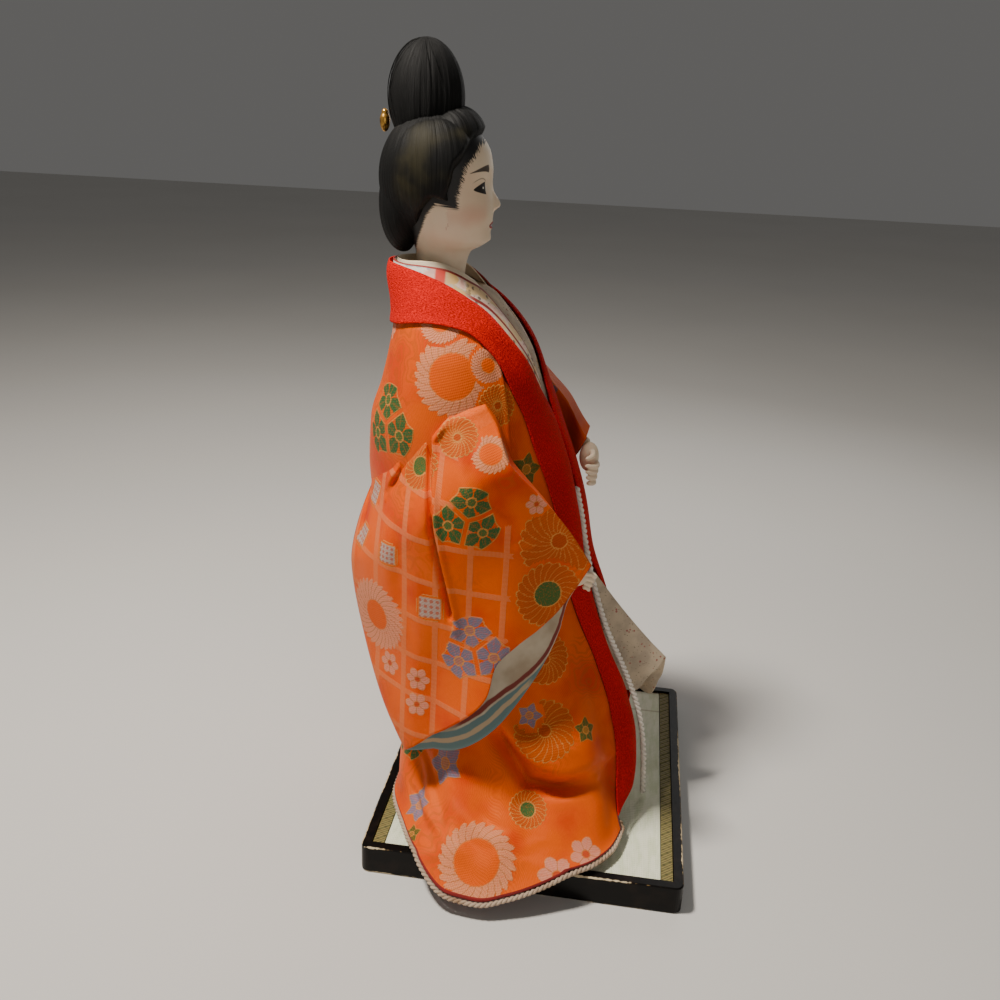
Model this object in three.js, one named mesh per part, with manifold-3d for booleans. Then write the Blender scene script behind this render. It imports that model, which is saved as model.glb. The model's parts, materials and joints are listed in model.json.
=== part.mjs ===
// Standing kimono doll on a black lacquered stand.
// Millimetres, +Z up, origin at the middle of the stand's underside.
// The doll faces -Y, so its right side is towards -X.
import * as THREE from 'three';
import { mergeVertices } from 'three/addons/utils/BufferGeometryUtils.js';
import Module from 'manifold-3d';

const wasm = await Module();
wasm.setup();

// Driving sizes of the stand
const STAND_WIDTH = 146.8;
const STAND_DEPTH = 130;
const STAND_HEIGHT = 12.5;
const STAND_CORNER = 3;
const STAND_EDGE_BEVEL = 0.5;
const RIM_WIDTH = 3.9;
const RECESS_DEPTH = 3;
const MAT_TOP = 11;
const BORDER_WIDTH = 4.6;
const BORDER_TOP = 11.4;
const FIT_GAP = 0.3;

// Driving sizes of the cloth, each layer given by its distance from the figure's surface
const ROBE_INSIDE = 0.4;
const ROBE_OUTSIDE = 1.8;
const LAPEL_OUTSIDE = 2.7;
const INNER_COLLAR_INSIDE = -1.2;
const INNER_COLLAR_OUTSIDE = -0.4;
const UNDER_COLLAR_INSIDE = -2.7;
const UNDER_COLLAR_OUTSIDE = -2;
const BODY_OUTSIDE = -3;
const BODY_TUCK = 8;
const BODY_COLUMNS = 18;
const SLEEVE_WALL = 1;
const PANEL_WALL = 1.2;
const HEM_CORD_RADIUS = 1.1;
const CORD_GAP = 1.25;
const HEM_CORD_STEP = 7;
const HEM_CORD_CORNER = 2.5;
const HEM_CORD_RISE = 7;
const FRONT_CORD_RADIUS = 1;

// Heights that the figure's shape turns on
const SKIRT_BREAK = 60;
const HEM_REST = 14.5;
const OVERHANG_START = 75.5;
const OVERHANG_SLOPE = 0.6;
const NECK_BASE = 227.5;
const NECK_BASE_SECTION = 230;
const FIGURE_TOP = 239.5;

// The figure's level sections: height, front and back along Y, half width along X
const FIGURE_SECTIONS = [
  { at: 12, front: -43, back: 57, half: 50 },
  { at: 40, front: -41.5, back: 60, half: 49 },
  { at: 60, front: -37, back: 63, half: 47 },
  { at: 80, front: -29, back: 67, half: 44 },
  { at: 100, front: -21, back: 70, half: 42 },
  { at: 120, front: -14, back: 73, half: 40.5 },
  { at: 140, front: -10, back: 75, half: 40 },
  { at: 158, front: -5, back: 76.5, half: 40 },
  { at: 175, front: 2, back: 75.5, half: 40.5 },
  { at: 190, front: 8, back: 71, half: 40 },
  { at: 203, front: 13, back: 68, half: 37.5 },
  { at: 213, front: 19, back: 66.5, half: 33 },
  { at: 222, front: 26, back: 67, half: 26 },
  { at: 231, front: 33, back: 69, half: 18 },
  { at: 240, front: 38.5, back: 70, half: 13.5 },
];

// The hem's outline on the stand. The heading is 0 at the front and 90 at the doll's right.
const HEM_OUTLINE = [
  { at: 0, x: -2, y: -44 },
  { at: 18, x: -24, y: -41.5 },
  { at: 35, x: -41, y: -39.5 },
  { at: 50, x: -57, y: -37 },
  { at: 62, x: -69, y: -30 },
  { at: 75, x: -81, y: -12.5 },
  { at: 88, x: -88, y: 3 },
  { at: 98, x: -91, y: 14 },
  { at: 109, x: -90, y: 26 },
  { at: 121, x: -82, y: 37.5 },
  { at: 138, x: -63, y: 49 },
  { at: 158, x: -38, y: 58 },
  { at: 180, x: -5, y: 57 },
  { at: 205, x: 24, y: 54 },
  { at: 230, x: 46, y: 43 },
  { at: 255, x: 58, y: 24 },
  { at: 280, x: 60, y: 2 },
  { at: 305, x: 52, y: -19 },
  { at: 330, x: 34, y: -35 },
  { at: 345, x: 16, y: -42 },
  { at: 360, x: -2, y: -44 },
];

// The right lapel from the hem up to the nape: heading and height of its outer and inner edge
const LAPEL_STATIONS = [
  { outer: [41, 12], inner: [18.5, 12], farInner: [-25, 12] },
  { outer: [39, 21], inner: [18.5, 21], farInner: [-26, 21] },
  { outer: [36, 32], inner: [18, 32], farInner: [-25, 32] },
  { outer: [34, 44], inner: [18, 44], farInner: [-24, 44] },
  { outer: [32, 63], inner: [17, 63], farInner: [-22, 63] },
  { outer: [31.5, 82], inner: [20, 86], farInner: [-14, 86] },
  { outer: [34, 106], inner: [17, 108], farInner: [-3, 108] },
  { outer: [34, 128], inner: [13, 128], farInner: [5, 128] },
  { outer: [35, 148], inner: [12, 147], farInner: [6, 147] },
  { outer: [37.5, 166], inner: [9, 162], farInner: [6.5, 162] },
  { outer: [38.5, 182], inner: [6.5, 177], farInner: [4.5, 177] },
  { outer: [43.5, 193], inner: [14, 190], farInner: [0, 191] },
  { outer: [49.5, 203], inner: [20.5, 201], farInner: [-11.5, 200] },
  { outer: [57.5, 210.5], inner: [29, 210], farInner: [-20, 210] },
  { outer: [68, 216], inner: [40, 220], farInner: [-36, 220] },
  { outer: [84, 218.3], inner: [55, 225.3], farInner: [-53, 225.3] },
  { outer: [100, 219], inner: [74, 229.8], farInner: [-74, 229.8] },
  { outer: [118, 218.5], inner: [98, 233.3], farInner: [-98, 233.3] },
  { outer: [138, 217.3], inner: [124, 235.3], farInner: [-124, 235.3] },
  { outer: [160, 216.4], inner: [152, 236.2], farInner: [-152, 236.2] },
];
const NAPE_STATION = { outer: [180, 216], inner: [180, 236.5] };

// Rows of the robe below its neckline, at the heights of the lapel stations
const ROBE_ROWS = [214.5, 210.5, 203, 193, 182, 166, 148, 128, 106, 82, 63, 44, 32, 21, 12, 2];
const ROBE_COLUMNS = 28;
const NECKLINE_SIDE = 218.4;
const NECKLINE_DIP = 2.8;
const NECKLINE_START = 101;
const EDGE_CLEARANCE = 0.9;

// Outlines of the right sleeve seen from the side, as Y and Z
const RIGHT_SLEEVE = {
  side: -1,
  top: [[27, 193], [20, 184], [14.5, 174], [8.5, 167], [0, 157.5], [-9.5, 145.5], [-18, 132.5]],
  back: [[71, 159], [75, 149], [78.5, 134], [79, 116], [74, 92], [66, 72], [51, 48]],
  nearMouth: [[-18, 132.5], [-12, 121.5], [-4, 110], [7, 102], [14.5, 94], [18, 80], [31, 66], [51, 48]],
  farMouth: [[-17, 126], [-10, 114], [-7, 101], [-2, 88.5], [6.5, 74.5], [16, 63], [30, 53], [51, 47]],
  seam: [[27, 193], [35, 189.5], [42, 185], [48, 177], [55, 168.5], [62, 162.5], [71, 159]],
  openWidth: 8,
  plane: [[-26, 31], [-10, 34.5], [2, 38], [15, 43], [30, 46], [45, 46], [58, 42], [68, 36], [82, 27]],
};
const LEFT_SLEEVE = {
  side: 1,
  top: [[27, 195], [20, 192], [13, 188.5], [6, 183], [0, 178.5], [-6, 173], [-11, 168]],
  back: [[70, 162], [72, 150], [73, 134], [72, 114], [68, 92], [61, 72], [50, 50]],
  nearMouth: [[-11, 168], [-8, 160], [-2, 151], [4, 140], [9, 122], [15, 104], [24, 84], [36, 66], [50, 50]],
  farMouth: [[-10, 165], [-6, 156], [0, 147], [5, 135], [9, 118], [15, 99], [24, 79], [36, 61], [50, 48]],
  seam: [[27, 195], [35, 191], [42, 186], [49, 178], [56, 170], [63, 164.5], [70, 162]],
  openWidth: 8,
  plane: [[-16, 9], [-8, 15], [0, 28], [15, 38], [30, 45], [45, 45], [58, 41], [68, 35], [82, 26]],
};

// Room between the robe and a sleeve, and how far the sleeve swings out near its bottom corner
const SLEEVE_CLEARANCE = 6;
const SLEEVE_SWING = 8;
const SLEEVE_ROWS = 7;
const SLEEVE_COLUMNS = 9;

// Head and neck: level sections as for the figure
const HEAD_SECTIONS = [
  { at: 227.5, front: 41.8, back: 60, half: 9 },
  { at: 236, front: 40.8, back: 60.2, half: 8.8 },
  { at: 240.5, front: 39.2, back: 60.6, half: 9.2 },
  { at: 243, front: 35, back: 61.5, half: 10.6 },
  { at: 245.5, front: 32.3, back: 62.5, half: 12 },
  { at: 250, front: 31.9, back: 64.5, half: 13.8 },
  { at: 254.5, front: 31.2, back: 66.5, half: 14.8 },
  { at: 259, front: 31.3, back: 68.5, half: 15.5 },
  { at: 264, front: 31.9, back: 69.8, half: 16 },
  { at: 270, front: 31.8, back: 70.5, half: 16.3 },
  { at: 276, front: 32.6, back: 69, half: 15.2 },
  { at: 281, front: 35, back: 66.5, half: 13 },
  { at: 285, front: 39.5, back: 62.5, half: 9.6 },
  { at: 287.5, front: 44, back: 58.5, half: 6 },
];
const HEAD_CENTRE_Y = 51;
const HEAD_TURN = THREE.MathUtils.degToRad(7);
const NOSE = { height: 258, reach: 2.7, rise: 4.2, drop: 1.7, half: 2 };
const CHIN = { height: 245.5, reach: 0.5, rise: 1.8, drop: 1.8, half: 3.6 };
const LIPS = { height: 250.4, reach: 0.6, rise: 1.1, drop: 1.3, half: 2.6 };
const HEAD_COLUMNS = 24;

// Hair masses as ellipsoids: centre and half sizes
const HAIR_MASSES = [
  { centre: [0, 54.5, 268.5], radii: [20.5, 19.8, 22.5] },
  { centre: [0, 45.2, 281.8], radii: [13.5, 10.3, 10.4] },
  { centre: [-13, 51.2, 270.3], radii: [10.5, 15.3, 16.8] },
  { centre: [13, 51.2, 270.3], radii: [10.5, 15.3, 16.8] },
  { centre: [0, 65.5, 256.5], radii: [13.5, 8.8, 17.3] },
];
// Side view of the room that the hair leaves for the face and neck, as Y and Z
const HAIRLINE = [
  [33, 284], [35.6, 281.8], [37.4, 276.2], [40.4, 272.4], [41.6, 267.2], [43.2, 261.5], [42.6, 257.6],
  [50.4, 259.4], [54, 255], [55.8, 250], [58.6, 244.4], [60.4, 239], [60.4, 225], [15, 225], [15, 284],
];
const TOPKNOT = { centre: [0, 57.3, 294.7], radii: [11.5, 13.9, 20.5] };
const BEAD = { centre: [0, 73, 286.4], radii: [2.3, 1.9, 4.1] };

// Colours, roughness and metalness of the finishes
const FINISHES = {
  lacquer: [0x17120f, 0.4, 0],
  mat: [0xdfe6c4, 0.9, 0],
  border: [0x6d6a37, 0.85, 0.1],
  kimono: [0xb7a58c, 0.85, 0],
  printed: [0xd9c9b4, 0.8, 0],
  white: [0xeee3d2, 0.85, 0],
  brocade: [0xf06a10, 0.55, 0],
  crepe: [0xc02318, 0.85, 0],
  cord: [0xe9ddcc, 0.8, 0],
  skin: [0xe6d3b8, 0.6, 0],
  hair: [0x14130f, 0.6, 0],
  gilt: [0xb98a3a, 0.35, 0.8],
};

// Smooth value of one key through a list of stations
function along(stations, key, at) {
  const last = stations.length - 1;
  const x = THREE.MathUtils.clamp(at, stations[0].at, stations[last].at);
  let i = 0;
  while (i < last - 1 && x > stations[i + 1].at) i += 1;
  const slope = (a, b) => (stations[b][key] - stations[a][key]) / (stations[b].at - stations[a].at);
  const step = stations[i + 1].at - stations[i].at;
  const here = slope(i, i + 1);
  const before = i > 0 ? slope(i - 1, i) : here;
  const after = i < last - 1 ? slope(i + 1, i + 2) : here;
  const m0 = before * here > 0 ? (2 * before * here) / (before + here) : 0;
  const m1 = after * here > 0 ? (2 * after * here) / (after + here) : 0;
  const start = i > 0 ? m0 : here;
  const end = i < last - 1 ? m1 : here;
  const t = (x - stations[i].at) / step;
  const t2 = t * t;
  const t3 = t2 * t;
  return (2 * t3 - 3 * t2 + 1) * stations[i][key] + (t3 - 2 * t2 + t) * step * start
    + (3 * t2 - 2 * t3) * stations[i + 1][key] + (t3 - t2) * step * end;
}

const smooth = THREE.MathUtils.smoothstep;
const mix = THREE.MathUtils.lerp;

// Soft upright folds of the skirt, always outwards from the cloth's resting surface
function foldDepth(heading, height) {
  const gather = smooth(170 - height, 10, 130) * smooth(height, 4, 26);
  const pleats = 1.3 + 0.9 * Math.cos(heading * 0.21 + 0.6) + 0.8 * Math.cos(heading * 0.13 - 1.1);
  const pouch = 6 * Math.exp(-(((heading - 66) / 17) ** 2) - (((height - 52) / 9) ** 2));
  const hollow = 3.4 * Math.exp(-(((heading - 84) / 12) ** 2) - (((height - 34) / 9) ** 2));
  return gather * (pleats - hollow) + pouch;
}

// Plain level section of the dressed figure at a height
function sectionPoint(heading, height) {
  const front = along(FIGURE_SECTIONS, 'front', height);
  const back = along(FIGURE_SECTIONS, 'back', height);
  const half = along(FIGURE_SECTIONS, 'half', height);
  const angle = THREE.MathUtils.degToRad(heading);
  const y = (front + back) / 2 - ((back - front) / 2) * Math.cos(angle);
  return new THREE.Vector3(-half * Math.sin(angle), y, height);
}

// Resting surface of the robe: the figure's section, spread out to the hem below the skirt's break
function robePoint(heading, height) {
  const point = sectionPoint(heading, height);
  if (height >= SKIRT_BREAK) return point;
  const turn = THREE.MathUtils.euclideanModulo(heading, 360);
  const hem = { x: along(HEM_OUTLINE, 'x', turn), y: along(HEM_OUTLINE, 'y', turn) };
  const t = (SKIRT_BREAK - height) / SKIRT_BREAK;
  const spread = t ** 1.7;
  const reach = Math.hypot(hem.x - point.x, hem.y - point.y);
  const flare = smooth(reach, 4, 30);
  const fall = 1 - (1 - t) ** (1 + 0.6 * flare);
  const rest = HEM_REST + 2.2 * (1 - flare);
  point.x = mix(point.x, hem.x, spread);
  point.y = mix(point.y, hem.y, spread);
  point.z = mix(SKIRT_BREAK, rest, fall) - OVERHANG_SLOPE * Math.max(0, -point.x - OVERHANG_START);
  return point;
}

// A point at a distance outwards from a surface given by heading and height
function offsetFrom(surface, heading, height, distance) {
  const point = surface(heading, height);
  const across = surface(heading + 0.5, height).sub(surface(heading - 0.5, height));
  const up = surface(heading, Math.min(height + 0.5, FIGURE_TOP));
  up.sub(surface(heading, Math.max(height - 0.5, 0)));
  const outward = up.cross(across).normalize();
  const middle = (along(FIGURE_SECTIONS, 'front', height) + along(FIGURE_SECTIONS, 'back', height)) / 2;
  const away = new THREE.Vector3(point.x, point.y - middle, 0);
  if (outward.dot(away) < 0) outward.negate();
  return point.addScaledVector(outward, distance);
}

function onRobe(heading, height, distance) {
  return offsetFrom(robePoint, heading, height, distance + foldDepth(heading, height));
}

function onFigure(heading, height, distance) {
  return offsetFrom(sectionPoint, heading, height, distance);
}

// Geometry from points and faces, turned so that its faces point out
function closedGeometry(points, faces) {
  const volume = faces.reduce((sum, [a, b, c]) => {
    const cross = new THREE.Vector3().crossVectors(points[b], points[c]);
    return sum + points[a].dot(cross);
  }, 0);
  const turned = volume < 0 ? faces.map(([a, b, c]) => [a, c, b]) : faces;
  const geometry = new THREE.BufferGeometry().setFromPoints(points);
  geometry.setIndex(turned.flat());
  return geometry;
}

// Two triangles for a four-cornered face
const quad = (a, b, c, d) => [[a, b, c], [a, c, d]];

// Closed thin solid between an outer and an inner grid of points
function thinSolid(outer, inner) {
  const rows = outer.length;
  const columns = outer[0].length;
  const points = [...outer.flat(), ...inner.flat()];
  const front = (i, j) => i * columns + j;
  const rear = (i, j) => rows * columns + i * columns + j;
  const faces = [];
  for (let i = 0; i < rows - 1; i += 1) {
    for (let j = 0; j < columns - 1; j += 1) {
      faces.push(...quad(front(i, j), front(i, j + 1), front(i + 1, j + 1), front(i + 1, j)));
      faces.push(...quad(rear(i, j), rear(i + 1, j), rear(i + 1, j + 1), rear(i, j + 1)));
    }
    faces.push(...quad(front(i, 0), front(i + 1, 0), rear(i + 1, 0), rear(i, 0)));
    const k = columns - 1;
    faces.push(...quad(front(i + 1, k), front(i, k), rear(i, k), rear(i + 1, k)));
  }
  for (let j = 0; j < columns - 1; j += 1) {
    const k = rows - 1;
    faces.push(...quad(front(0, j + 1), front(0, j), rear(0, j), rear(0, j + 1)));
    faces.push(...quad(front(k, j), front(k, j + 1), rear(k, j + 1), rear(k, j)));
  }
  return closedGeometry(points, faces);
}

// Closed solid through rings of points, with a flat fan at each end
function ringSolid(rings) {
  const size = rings[0].length;
  const points = rings.flat();
  const faces = [];
  for (let i = 0; i < rings.length - 1; i += 1) {
    for (let j = 0; j < size; j += 1) {
      const k = (j + 1) % size;
      faces.push(...quad(i * size + j, i * size + k, (i + 1) * size + k, (i + 1) * size + j));
    }
  }
  const centre = (ring) => ring.reduce((sum, p) => sum.add(p), new THREE.Vector3()).divideScalar(size);
  const top = points.push(centre(rings[0])) - 1;
  const bottom = points.push(centre(rings[rings.length - 1])) - 1;
  const last = (rings.length - 1) * size;
  for (let j = 0; j < size; j += 1) {
    const k = (j + 1) % size;
    faces.push([top, k, j], [bottom, last + j, last + k]);
  }
  return closedGeometry(points, faces);
}

// Joins and cuts
function asManifold(geometry) {
  const bare = geometry.clone();
  bare.deleteAttribute('normal');
  bare.deleteAttribute('uv');
  const merged = mergeVertices(bare, 1e-4);
  return new wasm.Manifold(new wasm.Mesh({
    numProp: 3,
    vertProperties: new Float32Array(merged.getAttribute('position').array),
    triVerts: new Uint32Array(merged.getIndex().array),
  }));
}

function asGeometry(manifold) {
  const mesh = manifold.getMesh();
  const geometry = new THREE.BufferGeometry();
  geometry.setAttribute('position', new THREE.BufferAttribute(mesh.vertProperties, 3));
  geometry.setIndex(new THREE.BufferAttribute(mesh.triVerts, 1));
  return geometry;
}

const cut = (body, ...tools) => asGeometry(tools.reduce(
  (rest, tool) => rest.subtract(asManifold(tool)), asManifold(body)));
const join = (first, ...others) => asGeometry(others.reduce(
  (whole, other) => whole.add(asManifold(other)), asManifold(first)));

const doll = new THREE.Group();

function addPiece(name, geometry, finish) {
  const [color, roughness, metalness] = FINISHES[finish];
  const material = new THREE.MeshStandardMaterial({ color, roughness, metalness });
  const mesh = new THREE.Mesh(geometry, material);
  mesh.name = name;
  doll.add(mesh);
}

// Upright block with rounded corners and bevelled edges
function roundedBlock(width, depth, bottom, top, corner, bevel) {
  const x = width / 2 - bevel;
  const y = depth / 2 - bevel;
  const outline = new THREE.Shape();
  outline.absarc(x - corner, y - corner, corner, 0, Math.PI / 2);
  outline.absarc(corner - x, y - corner, corner, Math.PI / 2, Math.PI);
  outline.absarc(corner - x, corner - y, corner, Math.PI, 1.5 * Math.PI);
  outline.absarc(x - corner, corner - y, corner, 1.5 * Math.PI, 2 * Math.PI);
  const geometry = new THREE.ExtrudeGeometry(outline, {
    depth: top - bottom - 2 * bevel,
    bevelEnabled: bevel > 0,
    bevelThickness: bevel,
    bevelSize: bevel,
    bevelSegments: 1,
    curveSegments: 3,
  });
  return geometry.translate(0, 0, bottom + bevel);
}

function box(width, depth, height, x, y, z) {
  return new THREE.BoxGeometry(width, depth, height).translate(x, y, z);
}

// Stand: a plinth with a shallow recess, a mat in it, and a border strip along its front and back
function buildStand() {
  const floor = STAND_HEIGHT - RECESS_DEPTH;
  const insideWidth = STAND_WIDTH - 2 * RIM_WIDTH;
  const insideDepth = STAND_DEPTH - 2 * RIM_WIDTH;
  const block = roundedBlock(STAND_WIDTH, STAND_DEPTH, 0, STAND_HEIGHT, STAND_CORNER, STAND_EDGE_BEVEL);
  const pocket = box(insideWidth, insideDepth, 2 * RECESS_DEPTH, 0, 0, STAND_HEIGHT);
  addPiece('stand_plinth', cut(block, pocket), 'lacquer');

  const bottom = floor + FIT_GAP;
  const matDepth = insideDepth - 2 * BORDER_WIDTH - 4 * FIT_GAP;
  const matHeight = MAT_TOP - bottom;
  const mat = box(insideWidth - 2 * FIT_GAP, matDepth, matHeight, 0, 0, bottom + matHeight / 2);
  addPiece('stand_mat', mat, 'mat');
  const borderHeight = BORDER_TOP - bottom;
  const borderY = insideDepth / 2 - FIT_GAP - BORDER_WIDTH / 2;
  for (const [name, side] of [['mat_border_front', -1], ['mat_border_back', 1]]) {
    const strip = box(insideWidth - 2 * FIT_GAP, BORDER_WIDTH, borderHeight,
      0, side * borderY, bottom + borderHeight / 2);
    addPiece(name, strip, 'border');
  }
}

// Ring of the figure at one height, tucked in towards the mat under the robe
function bodyRing(height) {
  const tuck = BODY_TUCK * smooth(110 - height, 0, 95);
  return Array.from({ length: BODY_COLUMNS }, (_, j) => (
    onFigure((360 * j) / BODY_COLUMNS, height, BODY_OUTSIDE - tuck)));
}

// Padded body in its kimono, flat at the neck and flat on the mat
function buildKimonoBody() {
  const flatRing = (section, height) => bodyRing(section).map((point) => point.setZ(height));
  const heights = [222, 213, 203, 190, 172, 150, 125, 100, 78, 58, 38, 24];
  const rings = heights.map((height) => bodyRing(height));
  rings.unshift(flatRing(NECK_BASE_SECTION, NECK_BASE));
  rings.push(flatRing(MAT_TOP + FIT_GAP, MAT_TOP + FIT_GAP));
  addPiece('kimono_body', ringSolid(rings), 'kimono');
}

// Flared front of the inner kimono: a pleat whose ridge runs forward and down from the waist
function buildFrontPanel() {
  const top = [[-3.9, -17, 109], [-2.2, -17.8, 110], [-0.8, -18.6, 110.4], [1, -17.4, 109.8],
    [3, -16.6, 109]];
  const hem = [[-8, -34, 56], [-1.5, -43, 57.5], [5, -52.4, 69], [14, -48, 46], [15.5, -37, 47]];
  const rows = 6;
  const columns = 10;
  const topLine = new THREE.CatmullRomCurve3(top.map((p) => new THREE.Vector3(...p)), false, 'centripetal');
  const hemLine = new THREE.CatmullRomCurve3(hem.map((p) => new THREE.Vector3(...p)), false, 'centripetal');
  const place = (i, j) => topLine.getPoint(j / columns).lerp(hemLine.getPoint(j / columns), i / rows);
  const outer = [];
  const inner = [];
  for (let i = 0; i <= rows; i += 1) {
    outer.push([]);
    inner.push([]);
    for (let j = 0; j <= columns; j += 1) {
      const point = place(i, j);
      const thinning = PANEL_WALL * (0.4 + 0.6 * Math.min(1, i / 3));
      outer[i].push(point);
      inner[i].push(point.clone().add(new THREE.Vector3(0, thinning, -0.2)));
    }
  }
  addPiece('kimono_front_panel', thinSolid(outer, inner), 'kimono');
}

// Ribbon on the figure between two edge lines, each a list of heading and height
function ribbon(surface, first, second, inside, outside, across) {
  const grid = (distance) => first.map((edge, i) => (
    Array.from({ length: across + 1 }, (_, j) => {
      const t = j / across;
      return surface(mix(edge[0], second[i][0], t), mix(edge[1], second[i][1], t), distance);
    })));
  return thinSolid(grid(outside), grid(inside));
}

function mirrored(edges) {
  return edges.slice().reverse().map(([heading, height]) => [360 - heading, height]);
}

// Two collars inside the robe: a white one against the neck and a printed one around it
function buildCollars() {
  const underTop = [[22, 231.8], [42, 235.2], [66, 238], [95, 238.4], [125, 237.6], [155, 237.2],
    [180, 237.2]];
  const underLow = [[10, 224], [30, 227.5], [58, 230.5], [92, 231.5], [125, 231.5], [155, 231.5],
    [180, 231.5]];
  const lower = [...underLow, ...mirrored(underLow.slice(0, -1))];
  const upper = [...underTop, ...mirrored(underTop.slice(0, -1))];
  const under = ribbon(onFigure, lower, upper, UNDER_COLLAR_INSIDE, UNDER_COLLAR_OUTSIDE, 1);
  addPiece('under_collar', under, 'white');

  const printTop = [[3, 196], [9, 212], [20, 226.3], [42, 232], [66, 235.4], [95, 236.4], [125, 236.4],
    [155, 236.6], [180, 236.8]];
  const printLow = [[9, 184], [27, 200], [42, 212], [62, 219], [84, 223.5], [104, 226], [128, 227.5],
    [155, 228], [180, 228]];
  const inner = ribbon(onFigure, [...printLow, ...mirrored(printLow.slice(0, -1))],
    [...printTop, ...mirrored(printTop.slice(0, -1))], INNER_COLLAR_INSIDE, INNER_COLLAR_OUTSIDE, 2);
  addPiece('inner_collar', inner, 'printed');
}

// Heading of the robe's front edge at a height, the same on both sides
function frontEdge(height) {
  const stations = LAPEL_STATIONS.map(({ outer }) => ({ at: outer[1], heading: outer[0] }));
  const rising = stations.filter((station, i) => i === 0 || station.at > stations[i - 1].at);
  return along(rising, 'heading', height) + EDGE_CLEARANCE;
}

// Grid of the robe from its neckline down to the hem, at a distance from its resting surface
function robeGrid(distance) {
  const columns = Array.from({ length: ROBE_COLUMNS + 1 }, (_, j) => j / ROBE_COLUMNS);
  const neckline = columns.map((s) => {
    const heading = mix(NECKLINE_START, 360 - NECKLINE_START, s);
    return onRobe(heading, NECKLINE_SIDE - NECKLINE_DIP * Math.sin(Math.PI * s), distance);
  });
  const rows = ROBE_ROWS.map((height) => {
    const edge = frontEdge(height);
    return columns.map((s) => onRobe(mix(edge, 360 - edge, s), height, distance));
  });
  return [neckline, ...rows];
}

// Robe open down the front, and the lapel band that runs up one front, round the neck and down the other
function buildRobe() {
  addPiece('robe_body', thinSolid(robeGrid(ROBE_OUTSIDE), robeGrid(ROBE_INSIDE)), 'brocade');

  const near = LAPEL_STATIONS.map(({ outer, inner }) => ({ outer, inner }));
  const far = LAPEL_STATIONS.map(({ outer, farInner }) => ({
    outer: [360 - outer[0], outer[1]],
    inner: [360 + farInner[0], farInner[1]],
  })).reverse();
  const path = [...near, NAPE_STATION, ...far];
  const lapel = ribbon(onRobe, path.map((s) => s.outer), path.map((s) => s.inner),
    ROBE_INSIDE, LAPEL_OUTSIDE, 2);
  addPiece('robe_lapel', lapel, 'crepe');
}

// Tube along a line of points, ended by flat faces
function cord(points, radius, steps, sides) {
  const section = new THREE.Shape(Array.from({ length: sides }, (_, i) => {
    const angle = (2 * Math.PI * i) / sides;
    return new THREE.Vector2(radius * Math.cos(angle), radius * Math.sin(angle));
  }));
  const path = new THREE.CatmullRomCurve3(points, false, 'centripetal');
  return new THREE.ExtrudeGeometry(section, { steps, bevelEnabled: false, extrudePath: path });
}

// White cords: one along the hem, and one that hangs down the right front edge
function buildCords() {
  const last = ROBE_ROWS[ROBE_ROWS.length - 1];
  const middle = (ROBE_INSIDE + ROBE_OUTSIDE) / 2;
  const line = [];
  const offEdge = (edge, inner) => edge.add(edge.clone().sub(inner).setLength(HEM_CORD_RADIUS + CORD_GAP));
  const rise = frontEdge(HEM_CORD_RISE);
  line.push(offEdge(onRobe(rise, HEM_CORD_RISE, middle), onRobe(rise + 3, HEM_CORD_RISE, middle)));
  const start = frontEdge(last) - HEM_CORD_CORNER;
  const lowest = STAND_HEIGHT + FIT_GAP + HEM_CORD_RADIUS;
  for (let heading = start; heading <= 360 - start; heading += HEM_CORD_STEP) {
    const centre = offEdge(onRobe(heading, last, middle), onRobe(heading, last + 3, middle));
    const overStand = centre.x > -STAND_WIDTH / 2 - 2 * HEM_CORD_RADIUS - CORD_GAP;
    if (overStand) centre.z = Math.max(centre.z, lowest);
    line.push(centre);
  }
  addPiece('hem_cord', cord(line, HEM_CORD_RADIUS, 44, 5), 'cord');

  const stations = [[9, 150, 1.5], [9.3, 137, 1.5], [9.6, 125, 1.6], [13, 108, 1.8], [16, 90, 2], [13, 70, 2],
    [12, 50, 2.3], [12.6, 36, 3], [12.6, 22, 4]];
  const strand = stations.map(([heading, height, distance]) => onRobe(heading, height, distance));
  strand.push(new THREE.Vector3(-16.6, -48.2, 12.6));
  addPiece('front_cord', cord(strand, FRONT_CORD_RADIUS, 22, 5), 'cord');
}

// Smooth line through outline points given as Y and Z
function sideLine(points) {
  return new THREE.CatmullRomCurve3(points.map(([y, z]) => new THREE.Vector3(0, y, z)), false, 'centripetal');
}

// Half width of the figure at a depth and a height
function figureReach(y, height) {
  const front = along(FIGURE_SECTIONS, 'front', height);
  const back = along(FIGURE_SECTIONS, 'back', height);
  const place = (2 * y - front - back) / (back - front);
  return along(FIGURE_SECTIONS, 'half', height) * Math.sqrt(Math.max(0, 1 - place * place));
}

// Side view of a sleeve's layer as a grid, from the armhole to the mouth and from the top to the back
function sleevePlaces(sleeve, mouth) {
  const top = sideLine(sleeve.top);
  const back = sideLine(sleeve.back);
  const edge = sideLine(mouth);
  const seam = sideLine(sleeve.seam);
  const bend = (line, rung, w) => line.getPointAt(w).sub(top.getPointAt(rung).lerp(back.getPointAt(rung), w));
  return Array.from({ length: SLEEVE_ROWS + 1 }, (_, i) => {
    const down = i / SLEEVE_ROWS;
    return Array.from({ length: SLEEVE_COLUMNS + 1 }, (__, j) => {
      const across = j / SLEEVE_COLUMNS;
      const point = top.getPointAt(down).lerp(back.getPointAt(down), across);
      point.addScaledVector(bend(edge, 1, across), down ** 1.5);
      point.addScaledVector(bend(seam, 0, across), (1 - down) ** 1.5);
      return { point, down, across };
    });
  });
}

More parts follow.
